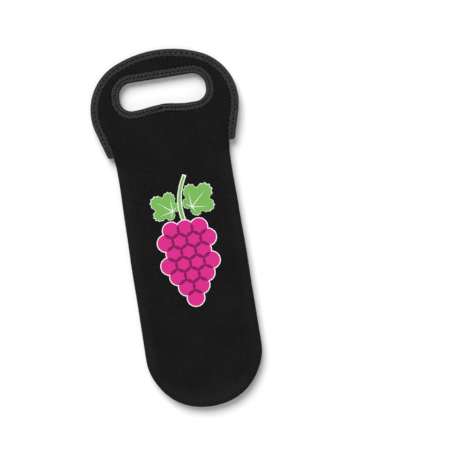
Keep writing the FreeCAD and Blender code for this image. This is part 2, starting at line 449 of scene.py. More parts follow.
@dataclass(frozen=True)
class RestShape:
    """How the sewn carrier lies: each point of the flat pieces goes to its place by one smooth map."""

    sizes: CarrierSizes
    outlines: Outlines
    edge_power: float = 2.2
    ear_height: float = 1.8
    ear_fade: float = 24.0
    ear_step: float = 1.8
    press_reach: float = 1.8
    sag: float = 1.7
    sag_border: float = 8.5
    sag_reach: float = 46.0
    ripple: float = 0.16
    handle_rest: float = 0.34
    droop_share: float = 0.8
    back_lift: float = 0.5
    waves: tuple[tuple[float, float, float], ...] = ((0.088, 0.047, 0.6), (-0.033, 0.072, 2.4))
    flare: tuple[float, float] = (1.1, 8.0)
    sways: tuple[tuple[float, float, float], ...] = (
        (-0.4, 52.0, 20.0),
        (0.45, -36.0, 24.0),
        (-0.8, -168.0, 15.0),
    )

    @property
    def fall(self) -> float:
        """How far the pouch's outer face comes down to its nose."""
        return self.sizes.seam_z - self.sizes.crease_radius - self.sizes.edge_flat

    def edge_top(self, inset: Floats | float) -> Floats:
        """Height of the pouch's outer face near its edge: a superellipse from the nose up to the flat."""
        nose = self.sizes.seam_z - self.fall
        return nose + self.fall * crown(np.asarray(inset) / self.sizes.allowance, self.edge_power)

    @property
    def turn(self) -> float:
        """Inset at which the pouch's rounded edge is as low as the panel's inner face: edge_top's inverse."""
        share = (self.sizes.ceiling - self.sizes.seam_z + self.fall) / self.fall
        return self.sizes.allowance * (1.0 - (1.0 - share**self.edge_power) ** (1.0 / self.edge_power))

    def pressed(self, x: Floats, y: Floats) -> Floats:
        """Half the handle's thickness: thin under the tapes, and eased up to the full panel past them."""
        return self.pressed_at(np.minimum(self.outlines.arch.inset(x, y), self.outlines.grip.inset(x, y)))

    def pressed_at(self, inset: Floats | float) -> Floats:
        """Half the handle's thickness at an inset from a bound edge."""
        full = self.sizes.panel / 2.0
        share = ease((np.asarray(inset) - self.sizes.tape_width) / self.press_reach)
        return self.sizes.pressed_half + (full - self.sizes.pressed_half) * share

    def layer(self, x: Floats, y: Floats) -> tuple[Floats, Floats]:
        """Heights of the handle's two faces, flat before it droops.

        Along the fold they follow the pouch: its rounded edge above, and below a ramp down to the crease.
        Past the pouch's edge the ears stand a little above the seam plane. All of that fades into the plain
        handle upwards.

        Args:
            x: The points' x.
            y: The points' y.

        Returns:
            Height of the outer face and of the inner face above the seam plane.
        """
        sizes = self.sizes
        middle, half = sizes.seam_z - sizes.panel / 2.0, self.pressed(x, y)
        inset, turn = sizes.mouth_half - np.abs(x), self.turn
        ear_top, ear_low = self.ear_height + sizes.pressed_half, self.ear_height - sizes.pressed_half
        past = ease((turn - inset) / (self.ear_step + turn))
        top = np.where(inset > turn, self.edge_top(inset), sizes.ceiling + (ear_top - sizes.ceiling) * past)
        under = sizes.crease_radius
        ramp = sizes.ceiling * (1.0 - ease((sizes.allowance - inset) / (sizes.allowance - under)))
        below = ease((under - inset) / (self.ear_step + under))
        low = np.where(inset > under, ramp, ear_low * below)
        fade = 1.0 - ease((y - sizes.fold_y) / self.ear_fade)
        return (
            (middle + half) * (1.0 - fade) + top * fade,
            (middle - half) * (1.0 - fade) + low * fade,
        )

    def middle(self, x: Floats, y: Floats) -> Floats:
        """Height of the handle's middle surface, flat before it droops."""
        top, low = self.layer(x, y)
        return (top + low) / 2.0

    def slack(self, x: Floats, y: Floats) -> Floats:
        """How far the cloth is from its stiff edges: 0 along them and 1 down the middle."""
        inset = np.where(
            y < self.sizes.fold_y,
            self.outlines.pouch.inset(x, y),
            self.sizes.mouth_half - np.abs(x),
        )
        return ease((inset - self.sag_border) / self.sag_reach)

    def carry(self, x: Floats, y: Floats, z: Floats, side: Side) -> Floats:
        """Takes flat points to where the carrier's cloth lies.

        Across, the mouth flares, and the sides sway in and out, by bell curves of y. In height, the front
        sags between its stiff edges with two slow waves, and its handle eases down until it lies on the back
        handle. The back lies on the floor, its handle lifted by what the tape stands out.

        Args:
            x: Across.
            y: Along.
            z: Height above the seam plane, on the side's own outside.
            side: Which panel the points belong to.

        Returns:
            Points in metres in the carrier's frame, in the shape of the input with one more axis.
        """
        sizes = self.sizes
        wide = np.abs(x)
        spread = self.flare[0] * bell(y - sizes.fold_y, self.flare[1])
        for amount, middle, reach in self.sways:
            spread = spread + amount * bell(y - middle, reach)
        held = ease(wide / sizes.mouth_half) * (1.0 - ease((wide - sizes.mouth_half) / sizes.tape_overhang))
        past = (y - sizes.fold_y) / sizes.handle_height
        if side is Side.FRONT:
            slack = self.slack(x, y)
            waves = sum(np.sin(across * x + along * y + phase) for across, along, phase in self.waves)
            sunk = (self.sag + self.ripple * waves) * slack
            droop = ease(past / self.droop_share)
            z = z - sunk + droop * (self.handle_rest - self.middle(x, y) + sunk)
        else:
            z = z - self.back_lift * ease(past * sizes.handle_height / self.ear_fade)
        moved = [x + np.sign(x) * spread * held, y + 0.0 * x, sizes.seam_z + side.up * z]
        return np.stack(np.broadcast_arrays(*moved), axis=-1) * MM


def grid_faces(rows: int, columns: int, ring_rows: bool = False, ring_columns: bool = False) -> Ints:
    """Faces of a grid of points numbered row by row, facing the way that column × row points.

    Args:
        rows: Number of rows.
        columns: Number of points in a row.
        ring_rows: Whether the last row joins the first.
        ring_columns: Whether each row is a ring.

    Returns:
        Rows of four point numbers.
    """
    row = np.arange(rows if ring_rows else rows - 1)[:, None]
    column = np.arange(columns if ring_columns else columns - 1)[None, :]
    next_row, next_column = (row + 1) % rows, (column + 1) % columns
    corners = [(row, column), (row, next_column), (next_row, next_column), (next_row, column)]
    return np.stack([r * columns + c for r, c in corners], axis=-1).reshape(-1, 4)


def end_faces(rows: int, columns: int) -> list[list[int]]:
    """The two faces that close a grid whose rows are rings, at its first and its last row."""
    first = list(range(columns))
    return [first[::-1], [(rows - 1) * columns + corner for corner in first]]


@dataclass
class Mesh:
    """A mesh in the making: points in metres, faces of four, odd faces, and a flat place for each point."""

    points: Floats = field(default_factory=lambda: np.zeros((0, 3)))
    faces: Ints = field(default_factory=lambda: np.zeros((0, 4), np.int64))
    odd: list[list[int]] = field(default_factory=list)
    flat: Floats = field(default_factory=lambda: np.zeros((0, 2)))
    run: Floats = field(default_factory=lambda: np.zeros((0, 2)))
    finish: Ints = field(default_factory=lambda: np.zeros(0, np.int64))
    odd_finish: list[int] = field(default_factory=list)

    def add(
        self,
        points: Floats,
        faces: Ints,
        flat: Floats,
        odd: Sequence[Sequence[int]] = (),
        run: Floats | None = None,
        finish: int = 0,
    ) -> None:
        """Adds a block of points and the faces on it.

        Args:
            points: Points in metres, in any grid shape.
            faces: Rows of four numbers into the block.
            flat: The points' flat places, in millimetres.
            odd: Faces with more corners.
            run: Their places along and across a seam: in millimetres, but in zigzags along a tape.
            finish: Number of the material on these faces.
        """
        first = len(self.points)
        points = points.reshape(-1, 3)
        far = np.full((len(points), 2), FAR)
        self.points = np.concatenate([self.points, points])
        self.faces = np.concatenate([self.faces, faces + first])
        self.flat = np.concatenate([self.flat, flat.reshape(-1, 2)])
        self.run = np.concatenate([self.run, far if run is None else run.reshape(-1, 2)])
        self.odd += [[int(corner) + first for corner in face] for face in odd]
        self.odd_finish += [finish] * len(odd)
        self.finish = np.concatenate([self.finish, np.full(len(faces), finish)])

    def turn_over(self) -> None:
        """Turns every face over."""
        self.faces = self.faces[:, ::-1]
        self.odd = [face[::-1] for face in self.odd]

    def welded(self) -> "Mesh":
        """The same mesh with points at one place made one."""
        keys = np.round(self.points / (WELD * MM)).astype(np.int64)
        _, first, number = np.unique(keys, axis=0, return_index=True, return_inverse=True)
        number = number.ravel()
        self.points, self.flat, self.run = self.points[first], self.flat[first], self.run[first]
        self.faces = number[self.faces]
        self.odd = [[int(number[corner]) for corner in face] for face in self.odd]
        return self

    def object(
        self, name: str, materials: Sequence[bpy.types.Material], sharp: float = 50.0
    ) -> bpy.types.Object:
        """Makes the Blender object, shaded smooth but for its sharp edges.

        A face whose corners were welded loses the doubled ones, and one left with two corners is dropped.

        Args:
            name: The object's name.
            materials: Its materials, by the numbers in finish.
            sharp: Angle in degrees from which an edge is sharp.

        Returns:
            The object, at the origin.
        """
        whole = (self.faces != np.roll(self.faces, 1, axis=1)).all(1)
        thin = [list(dict.fromkeys(face)) for face in self.faces[~whole].tolist()]
        kept = [len(face) > 2 for face in thin]
        faces = self.faces[whole].tolist() + [face for face, keep in zip(thin, kept) if keep] + self.odd
        thin_finish = self.finish[~whole][np.array(kept, bool)]
        numbers = [self.finish[whole], thin_finish, np.array(self.odd_finish, np.int64)]
        mesh = bpy.data.meshes.new(name)
        mesh.from_pydata(self.points.tolist(), [], faces)
        for material in materials:
            mesh.materials.append(material)
        mesh.polygons.foreach_set("material_index", np.concatenate(numbers).astype(np.int32))
        mesh.polygons.foreach_set("use_smooth", np.ones(len(faces), bool))
        corner = np.zeros(len(mesh.loops), np.int32)
        mesh.loops.foreach_get("vertex_index", corner)
        for layer, places in (("flat", self.flat), ("run", self.run)):
            made = mesh.uv_layers.new(name=layer)
            made.uv.foreach_set("vector", (places[corner] * MM).astype(np.float32).ravel())
        mesh.set_sharp_from_angle(angle=math.radians(sharp))
        mesh.update()
        made_object = bpy.data.objects.new(name, mesh)
        bpy.context.scene.collection.objects.link(made_object)
        log.info("%s: %d points, %d faces", name, len(mesh.vertices), len(mesh.polygons))
        return made_object


def tube(path: Floats, radius: float, around: int) -> tuple[Floats, Ints, Floats, list[list[int]]]:
    """A round thread along a path: a ring of points about each path point, at right angles to the path.

    Each ring's first axis is level, up × tangent, and its second is tangent × first.

    Args:
        path: Points of the path, in metres.
        radius: Radius of the thread, in millimetres.
        around: Points in each ring.

    Returns:
        Points, faces, flat places (along the thread and round it) and the two end faces.
    """
    ahead = np.gradient(path, axis=0)
    ahead /= np.linalg.norm(ahead, axis=1, keepdims=True)
    level = np.cross([0.0, 0.0, 1.0], ahead)
    level /= np.linalg.norm(level, axis=1, keepdims=True)
    raised = np.cross(ahead, level)
    angle = 2.0 * math.pi * np.arange(around) / around
    ring = np.cos(angle)[None, :, None] * level[:, None] + np.sin(angle)[None, :, None] * raised[:, None]
    points = path[:, None] + radius * MM * ring
    along = np.append(0.0, np.cumsum(np.linalg.norm(np.diff(path, axis=0), axis=1))) / MM
    flat = np.stack(np.broadcast_arrays(along[:, None], radius * angle[None, :]), axis=-1)
    return points, grid_faces(len(path), around, ring_columns=True), flat, end_faces(len(path), around)


class Tone:
    """A shader value that takes part in Python arithmetic; each operation adds one Math node."""

    def __init__(self, book: "NodeBook", socket: bpy.types.NodeSocket) -> None:
        """Wraps an output socket."""
        self.book, self.socket = book, socket

    def math(self, operation: str, *others: "Tone | float") -> "Tone":
        """One Math node on this value and others."""
        return self.book.math(operation, self, *others)

    def __add__(self, other: "Tone | float") -> "Tone":
        """Sum."""
        return self.math("ADD", other)

    def __mul__(self, other: "Tone | float") -> "Tone":
        """Product."""
        return self.math("MULTIPLY", other)

    def __sub__(self, other: "Tone | float") -> "Tone":
        """Difference."""
        return self.math("SUBTRACT", other)

    def __rsub__(self, other: "Tone | float") -> "Tone":
        """Difference from a number."""
        return self.book.math("SUBTRACT", other, self)

    def __truediv__(self, other: "Tone | float") -> "Tone":
        """Quotient."""
        return self.math("DIVIDE", other)

    def __abs__(self) -> "Tone":
        """Size without its sign."""
        return self.math("ABSOLUTE")

    def wave(self) -> "Tone":
        """Sine wave between 0 and 1 of an angle in radians."""
        return self.math("SINE") * 0.5 + 0.5

    def part(self) -> "Tone":
        """Fraction past the whole number below."""
        return self.math("FRACT")

    def ramp(self, low: float, high: float) -> "Tone":
        """Smooth step from 0 at low to 1 at high; falls the other way round where high is below low."""
        start, end = sorted((low, high))
        ends = (0.0, 1.0) if low < high else (1.0, 0.0)
        values = {"Value": self, "From Min": start, "From Max": end, "To Min": ends[0], "To Max": ends[1]}
        made = self.book.node("ShaderNodeMapRange", {"interpolation_type": "SMOOTHSTEP"}, values)
        return self.book.tone(made, "Result")

    def within(self, band: tuple[float, float]) -> "Tone":
        """Ramp of a place in metres over a band in millimetres."""
        return self.ramp(band[0] * MM, band[1] * MM)

    def sharpened(self, reach: float) -> "Tone":
        """Ramp over a reach to both sides of the middle, one half."""
        return self.ramp(0.5 - reach, 0.5 + reach)

    def mixed(self, share: float, other: "Tone") -> "Tone":
        """A share of this value, and the rest of another."""
        return self * share + other * (1.0 - share)


class NodeBook:
    """The nodes of one material or world."""

    def __init__(self, tree: bpy.types.NodeTree) -> None:
        """Empties the tree, ready for new nodes."""
        self.tree = tree
        tree.nodes.clear()

    def node(self, kind: str, settings: dict[str, Any], values: dict[Any, Any]) -> bpy.types.Node:
        """Adds a node, sets its settings, then sets or links its sockets.

        Args:
            kind: Type name of the node.
            settings: Properties of the node.
            values: Numbers, colours, tones or sockets, by the input's name or number.

        Returns:
            The node.
        """
        made = self.tree.nodes.new(kind)
        for name, value in settings.items():
            setattr(made, name, value)
        for name, value in values.items():
            source = value.socket if isinstance(value, Tone) else value
            if isinstance(source, bpy.types.NodeSocket):
                self.tree.links.new(source, made.inputs[name])
            else:
                made.inputs[name].default_value = source
        return made

    def tone(self, node: bpy.types.Node, output: str | int) -> Tone:
        """One output of a node as a tone."""
        return Tone(self, node.outputs[output])

    def math(self, operation: str, *values: Tone | float) -> Tone:
        """One Math node."""
        return self.tone(self.node("ShaderNodeMath", {"operation": operation}, dict(enumerate(values))), 0)

    def seen(self) -> Tone:
        """1 for a ray from the camera, straight or by way of gloss or glass, and 0 for one that lights."""
        ray = self.node("ShaderNodeLightPath", {}, {})
        ways = ("Camera", "Glossy", "Transmission")
        straight, gloss, glass = (self.tone(ray, f"Is {way} Ray") for way in ways)
        return straight.math("MAXIMUM", gloss).math("MAXIMUM", glass)

    def place(self, layer: str) -> tuple[Tone, Tone]:
        """The two flat places of a piece's own map, in metres."""
        spot = self.node("ShaderNodeUVMap", {"uv_map": layer}, {})
        split = self.node("ShaderNodeSeparateXYZ", {}, {0: spot.outputs[0]})
        return self.tone(split, 0), self.tone(split, 1)

    def clouds(self, spot: bpy.types.Node, scale: float, detail: float) -> Tone:
        """Cloudy noise at a scale over the flat vector that a node gives."""
        values = {"Vector": spot.outputs[0], "Scale": scale, "Detail": detail}
        return self.tone(self.node("ShaderNodeTexNoise", {"noise_dimensions": "2D"}, values), 0)

    def noise(self, size: float, detail: float = 2.0) -> Tone:
        """Clouds over the piece's flat map, with spots about a size in millimetres."""
        spot = self.node("ShaderNodeUVMap", {"uv_map": "flat"}, {})
        return self.clouds(spot, 1.0 / (size * MM), detail)

    def streaks(self, length: float, width: float) -> Tone:
        """Clouds drawn out across the piece, in spots of a length and a width in millimetres."""
        across, along = self.place("flat")
        spot = self.node("ShaderNodeCombineXYZ", {}, {0: across / (length * MM), 1: along / (width * MM)})
        return self.clouds(spot, 1.0, 1.0)

    def dot(self, beside: Tone, away: Tone, radius: float, core: float) -> Tone:
        """A round spot: 1 within a share of its radius, which is in millimetres, and 0 from the radius on."""
        reach = (beside * beside + away * away).math("SQRT")
        return reach.within((radius, core * radius))

    def blend(self, share: Tone, low: Any, high: Any) -> bpy.types.NodeSocket:
        """Colour that goes from one to the other with a share; the node's colours are its inputs 6 and 7."""
        values = {0: share, 6: low, 7: high}
        return self.node("ShaderNodeMix", {"data_type": "RGBA"}, values).outputs[2]

    def bump(self, height: Tone, strength: float, depth: float) -> bpy.types.NodeSocket:
        """Normal of a surface with a height of up to a depth in millimetres."""
        values = {"Height": height, "Strength": strength, "Distance": depth * MM}
        return self.node("ShaderNodeBump", {}, values).outputs[0]

    def surface(
        self, colour: bpy.types.NodeSocket, normal: bpy.types.NodeSocket, roughness: float, gloss: float
    ) -> None:
        """Ends a material in one Principled shader.

        Args:
            colour: Its colour.
            normal: Its normal.
            roughness: Its roughness.
            gloss: How strongly it mirrors.
        """
        values = {"Base Color": colour, "Roughness": roughness, "Specular IOR Level": gloss, "Normal": normal}
        shader = self.node("ShaderNodeBsdfPrincipled", {}, values)
        self.node("ShaderNodeOutputMaterial", {}, {"Surface": shader.outputs[0]})


def linear(red: float, green: float, blue: float) -> tuple[float, float, float, float]:
    """A colour of 0 to 255 on screen as the linear colour that shaders take, by the sRGB curve."""
    share = np.array([red, green, blue]) / 255.0
    made = np.where(share > 0.04045, ((share + 0.055) / 1.055) ** 2.4, share / 12.92)
    return (*made.tolist(), 1.0)


def new_material(name: str) -> tuple[bpy.types.Material, NodeBook]:
    """A new material and the book of its nodes."""
    material = bpy.data.materials.new(name)
    material.use_nodes = True
    return material, NodeBook(material.node_tree)


@dataclass(frozen=True)
class KnitFinish:
    """Black jersey knit that faces the foam: fine wales of small loops, a soft sheen and faint clouds, with
    painted light round the pouch's edge and painted shade in its seam dots.
    """

    name: str
    dark: Colour = (16.0, 16.0, 16.0)
    light: Colour = (33.5, 33.5, 33.5)
    roughness: float = 0.7
    gloss: float = 0.02
    wale: float = 0.9
    course: float = 0.7
    slant: float = 1.1
    depth: float = 0.12
    bump: float = 0.3
    loop_share: float = 0.7
    cloud: float = 34.0
    cloud_share: float = 0.4
    fleck: float = 4.0
    fleck_reach: float = 0.16
    fleck_share: float = 0.7
    streak: tuple[float, float] = (11.0, 1.5)
    streak_reach: float = 0.15
    # Bands and strengths of a painted highlight round the pouch's edge and along its bottom.
    edge_inset: tuple[float, float] = (16.0, 0.0)
    low_y: tuple[float, float] = (-155.0, -185.0)
    low_inset: tuple[float, float] = (28.0, 9.0)
    # Seam dimples: bumped in, with painted shade in them.
    dot_inset: float = 3.6
    dot_pitch: float = 3.8
    dot_radius: float = 1.0
    dot_core: float = 0.5
    dot_depth: float = 1.5
    dot_shade: float = 0.75
    knit_light: float = 0.25
    cloud_light: float = 0.35
    edge_highlight: float = 0.4
    low_highlight: float = 0.2

    def make(self) -> bpy.types.Material:
        """Loops lean to both sides of each wale.

        Round the pouch's edge, and most at its bottom, the colour is painted a shade lighter: a painted
        highlight where the rolled edge catches light. Seam dimples sit there at a pitch, with painted shade
        in them.

        Returns:
            The material.
        """
        material, book = new_material(self.name)
        across, along = book.place("flat")
        arm = abs((across / (self.wale * MM)).part() - 0.5)
        turns = along / (self.course * MM) + arm * self.slant
        loops = (turns * (2.0 * math.pi)).wave()
        rib = 1.0 - arm * arm * 4.0
        knit = (loops * rib).mixed(self.loop_share, rib)
        travel, inset = book.place("run")
        beside = ((travel / (self.dot_pitch * MM)).part() - 0.5) * (self.dot_pitch * MM)
        dot = book.dot(beside, inset - self.dot_inset * MM, self.dot_radius, self.dot_core)
        flecks = book.noise(self.cloud).mixed(self.cloud_share, book.noise(self.fleck, 3.0))
        streaks = book.streaks(*self.streak).sharpened(self.streak_reach)
        clouds = flecks.sharpened(self.fleck_reach).mixed(self.fleck_share, streaks)
        # Painted highlight round the pouch's rolled edge, standing in for the light it catches; the next line
        # paints more along the bottom.
        edge = inset.within(self.edge_inset) * self.edge_highlight
        low = along.within(self.low_y) * inset.within(self.low_inset) * self.low_highlight
        share = knit * self.knit_light + clouds * self.cloud_light + edge + low
        # Painted shade in the seam dimples.
        share = share * (1.0 - dot * self.dot_shade)
        colour = book.blend(share, linear(*self.dark), linear(*self.light))
        normal = book.bump(knit - dot * self.dot_depth, self.bump, self.depth)
        book.surface(colour, normal, self.roughness, self.gloss)
        return material


@dataclass(frozen=True)
class TapeFinish:
    """Dark grey knitted tape: ribs and rows, with painted shade in the stitch holes and on the fold, and a
    painted highlight near it.
    """

    name: str
    stitch: float
    dark: Colour = (13.0, 13.0, 13.0)
    light: Colour = (67.0, 67.0, 67.0)
    roughness: float = 0.8
    gloss: float = 0.03
    rib: float = 0.8
    row: float = 0.75
    lean: float = 1.6
    rib_share: float = 0.45
    depth: float = 0.16
    bump: float = 0.5
    cloud: float = 9.0
    fleck: float = 1.5
    fleck_reach: float = 0.1
    fleck_share: float = 0.7
    weave_share: float = 0.35
    hole_inset: float = 4.25
    hole_radius: float = 1.0
    hole_core: float = 0.25
    hole_depth: float = 1.2
    hole_shade: float = 0.8
    fold: tuple[float, float] = (1.25, 0.1)
    fold_shade: float = 0.7
    roll: tuple[float, float] = (4.0, 2.5)
    roll_highlight: float = 0.15

    def make(self) -> bpy.types.Material:
        """Ribs and rows are sines of the way across and along; holes repeat with the stitch on both faces."""
        material, book = new_material(self.name)
        along, across = book.place("flat")
        ribs = (across * (2.0 * math.pi / (self.rib * MM))).wave()
        rows = (along * (2.0 * math.pi / (self.row * MM)) + ribs * self.lean).wave()
        weave = ribs.mixed(self.rib_share, rows)
        beat, inset = book.place("run")
        beside = ((beat / MM + 0.5).part() - 0.5) * (self.stitch * MM)
        hole = book.dot(beside, inset - self.hole_inset * MM, self.hole_radius, self.hole_core)
        fold, roll = inset.within(self.fold), inset.within(self.roll)
        flecks = book.noise(self.fleck).sharpened(self.fleck_reach)
        grain = flecks.mixed(self.fleck_share, book.noise(self.cloud))
        # Painted shade in the stitch holes.
        share = weave.mixed(self.weave_share, grain) * (1.0 - hole * self.hole_shade)
        # Painted shade on the fold, and a painted highlight on its rounded shoulder.
        share = share * (1.0 - fold * self.fold_shade) * (roll * self.roll_highlight + 1.0)
        colour = book.blend(share, linear(*self.dark), linear(*self.light))
        normal = book.bump(weave - hole * self.hole_depth, self.bump, self.depth)
        book.surface(colour, normal, self.roughness, self.gloss)
        return material


@dataclass(frozen=True)
class ThreadFinish:
    """Two-ply polyester thread: slanted plies along it, with a slight lustre."""

    name: str
    dark: Colour = (30.0, 30.0, 30.0)
    light: Colour = (54.0, 54.0, 54.0)
    roughness: float = 0.6
    gloss: float = 0.2
    ply: float = 0.55
    twist: float = 1.4
    ply_share: float = 0.7
    depth: float = 0.08
    bump: float = 0.5
    cloud: float = 3.0

    def make(self) -> bpy.types.Material:
        """The plies are a sine of the way along plus the way round."""
        material, book = new_material(self.name)
        along, around = book.place("flat")
        plies = ((along + around * self.twist) * (2.0 * math.pi / (self.ply * MM))).wave()
        share = plies.mixed(self.ply_share, book.noise(self.cloud))
        colour = book.blend(share, linear(*self.dark), linear(*self.light))
        book.surface(colour, book.bump(plies, self.bump, self.depth), self.roughness, self.gloss)
        return material


@dataclass(frozen=True)
class InkFinish:
    """Printed ink: an even colour through which the knit shows a little."""

    name: str
    colour: Colour
    hollow_tone: float = 0.9
    roughness: float = 0.6
    gloss: float = 0.06
    wale: float = 0.9
    course: float = 0.7
    depth: float = 0.1
    bump: float = 0.35
    cloud: float = 2.5
    knit_light: float = 0.45
    cloud_light: float = 0.3
    least_light: float = 0.3

    def make(self) -> bpy.types.Material:
        """The knit's wales and courses, a shade darker in their hollows."""
        material, book = new_material(self.name)
        across, along = book.place("flat")
        wales = abs((across / (self.wale * MM)).part() - 0.5) * 2.0
        rows = (along * (2.0 * math.pi / (self.course * MM))).wave()
        knit = rows.mixed(0.5, 1.0 - wales * wales)
        share = knit * self.knit_light + book.noise(self.cloud, 3.0) * self.cloud_light + self.least_light
        hollow_tone = (self.hollow_tone * part for part in self.colour)
        colour = book.blend(share, linear(*hollow_tone), linear(*self.colour))
        book.surface(colour, book.bump(knit, self.bump, self.depth), self.roughness, self.gloss)
        return material


@dataclass(frozen=True)
class Finishes:
    """Every material of the carrier, made once."""

    knit: bpy.types.Material
    tapes: dict[str, bpy.types.Material]
    thread: bpy.types.Material
    mark: bpy.types.Material
    inks: list[bpy.types.Material]

    @classmethod
    def make(cls) -> "Finishes":
        """Makes them all."""
        colours = {
            Ink.WHITE: (245.0, 245.0, 243.0),
            Ink.MAGENTA: (214.0, 45.0, 137.0),
            Ink.PLUM: (134.0, 28.0, 90.0),
            Ink.GREEN: (119.0, 181.0, 87.0),
        }
        tapes = {name: TapeFinish(f"{name}_tape", max(lengths)) for name, lengths in STITCHES.items()}
        return cls(
            knit=KnitFinish("black_knit").make(),
            tapes={name: finish.make() for name, finish in tapes.items()},
            thread=ThreadFinish("thread").make(),
            # Near-black and matt: painted shade in the needle holes and along the lapped tape end.
            mark=ThreadFinish("painted_shade", dark=(2.0, 2.0, 2.0), light=(8.0, 8.0, 8.0), gloss=0.0).make(),
            inks=[InkFinish(f"{ink.name.lower()}_ink", colours[ink]).make() for ink in Ink],
        )


@dataclass
class Panel:
    """One neoprene panel, pouch and handle in one sheet, its seam allowance turned in round the pouch."""

    side: Side
    shape: RestShape
    step: float = 1.3
    field_steps: int = 18
    ear_steps: int = 8
    handle_steps: int = 44
    hidden: int = 10
    tuck: float = 0.6
    plain: float = 18.0
    arch_shares: tuple[float, ...] = (0.15, 0.5, 1.0)
    over_shares: tuple[float, ...] = (1.0, 0.84, 0.7, 0.57, 0.45, 0.34, 0.26)
    above_turn: tuple[float, ...] = (1.0, 0.6)
    below_turn: tuple[float, ...] = (0.13, 0.03)
    crease_steps: int = 6
    inner_steps: int = 4

    @property
    def sizes(self) -> CarrierSizes:
        """The carrier's sizes."""
        return self.shape.sizes

    @property
    def field_shares(self) -> Floats:
        """Shares of the way from the pouch's border to its spine."""
        return np.linspace(0.0, 1.0, self.field_steps + 1)[1:]

    def border(self) -> tuple[Floats, Floats]:
        """Section of the pouch's border: over the rounded edge, round the crease and up its raw edge inside.

        Returns:
            Inset and height of each point.
        """
        sizes = self.sizes
        near_nose = [sizes.crease_radius, *self.above_turn, self.shape.turn, *self.below_turn]
        over = np.concatenate([sizes.allowance * np.array(self.over_shares), near_nose])
        angle = np.linspace(0.0, math.pi / 2.0, self.crease_steps + 1)
        crease = sizes.crease_radius * (1.0 - np.cos(angle))
        inner = np.linspace(sizes.crease_radius, sizes.allowance, self.inner_steps + 1)[1:]
        inset = np.concatenate([over, [0.0], crease, inner, [sizes.allowance] * 2])
        nose = sizes.crease_radius + sizes.edge_flat
        under = sizes.crease_radius * (1.0 - np.sin(angle))
        raw = sizes.ceiling * np.array([0.5, 1.0])
        height = np.concatenate([self.shape.edge_top(over), [nose], under, 0.0 * inner, raw])
        return inset, height

    def pouch_grid(self) -> tuple[Floats, Floats, Floats, Floats]:
        """The pouch as rows across its edge: from the spine out over the top, round the border and back.

        Rays run level from the edge to the spine, and round the bottom they meet where its arc has its
        centre. The seam is far from what lies out of sight, and from the mouth.

        Returns:
            x, y and height of the grid, and the place along and across the seam for each point.
        """
        sizes, track = self.sizes, self.shape.outlines.pouch
        inset, height = self.border()
        travel = track.stations(self.step)
        x, y = track.place(travel[:, None], inset[None, :])
        for row, sign in ((0, -1.0), (-1, 1.0)):
            x[row], y[row] = sign * (sizes.mouth_half - inset), sizes.fold_y
        spine_y = np.maximum(y[:, :1], track.runs[2].centre[1])
        field_x = x[:, :1] * (1.0 - self.field_shares)
        field_y = y[:, :1] + (spine_y - y[:, :1]) * self.field_shares
        deep = np.hypot(field_x - x[:, :1], field_y - y[:, :1]) + sizes.allowance
        level = np.ones_like(field_x)
        parts = [
            (field_x[:, ::-1], field_y[:, ::-1], sizes.seam_z * level, deep[:, ::-1]),
            (x, y, np.broadcast_to(height, x.shape), np.broadcast_to(inset, x.shape)),
            (field_x, field_y, sizes.ceiling * level, deep + FAR),
        ]
        x, y, z, across = (np.concatenate(part, axis=1) for part in zip(*parts))
        lies_under = np.arange(x.shape[1]) > self.field_steps + len(inset) - self.hidden
        from_end = np.minimum(travel, track.length - travel)
        across = across + self.plain * (1.0 - ease(from_end / self.plain))[:, None]
        across = np.where(lies_under, FAR, across)
        seam = np.stack(np.broadcast_arrays(travel[:, None], across), axis=-1)
        return x, y, z, seam

    def fold_x(self) -> Floats:
        """Where the handle's columns meet the fold: at the points of the pouch's last row and on the ears."""
        sizes, turn = self.sizes, self.shape.turn
        inset, _ = self.border()
        rounded = inset[: np.argmax(inset <= turn + WELD) + 1]
        field_x = (sizes.mouth_half - sizes.allowance) * (1.0 - self.field_shares[::-1])
        ear = np.linspace(sizes.mouth_half - turn, sizes.neck_half - self.tuck, self.ear_steps + 1)[1:-1]
        right = np.concatenate([field_x, sizes.mouth_half - rounded, ear])
        return np.concatenate([-right[:0:-1], right])

    def handle_grid(self) -> tuple[Floats, Floats, int]:
        """The handle as rays from the grip hole out to the rim and the fold line.

        Outer ends go up the right of the arch, over it, and back along the fold. Inner ends share the grip's
        edge out between matched places: the fold's middle and ends, the arch's widest places, shoulders and
        top.

        Returns:
            x and y of the grid, a row for each ray, and how many rays end on the arch.
        """
        sizes, lines = self.sizes, self.shape.outlines
        arch, grip = lines.arch, lines.grip
        up = arch.stations(self.step)
        widest = arch.ends[0] + arch.runs[1].radius * (math.pi / 2.0 - arch.runs[0].heading)
        marks = np.array([0.0, widest, arch.ends[1], arch.length / 2.0])
        marks = np.concatenate([marks, arch.length - marks[-2::-1]])
        low_left, left, right, low_right = grip.ends[[1, 4, 5, 8]]
        share = np.array(self.arch_shares)
        up_left, up_right = low_left + (left - low_left) * share, low_right + (right - low_right) * share
        matched = np.concatenate([up_right, [(left + right) / 2.0], up_left[::-1]])
        fold = self.fold_x()
        ends = np.array([-1.0, 0.0, 1.0]) * (sizes.neck_half - self.tuck)
        on_fold = np.interp(fold, ends, [up_left[0], 0.0, up_right[0] - grip.length]) % grip.length
        outer = np.stack(arch.place(up, self.tuck), axis=-1)
        outer[[0, -1]] = [[ends[2], sizes.fold_y], [ends[0], sizes.fold_y]]
        outer = np.concatenate([outer, np.stack([fold, np.full_like(fold, sizes.fold_y)], axis=-1)])
        inner = np.stack(grip.place(np.append(np.interp(up, marks, matched), on_fold), self.tuck), axis=-1)
        share = np.linspace(0.0, 1.0, self.handle_steps + 1)[None, :, None]
        spots = inner[:, None] * (1.0 - share) + outer[:, None] * share
        return spots[..., 0], spots[..., 1], len(up)

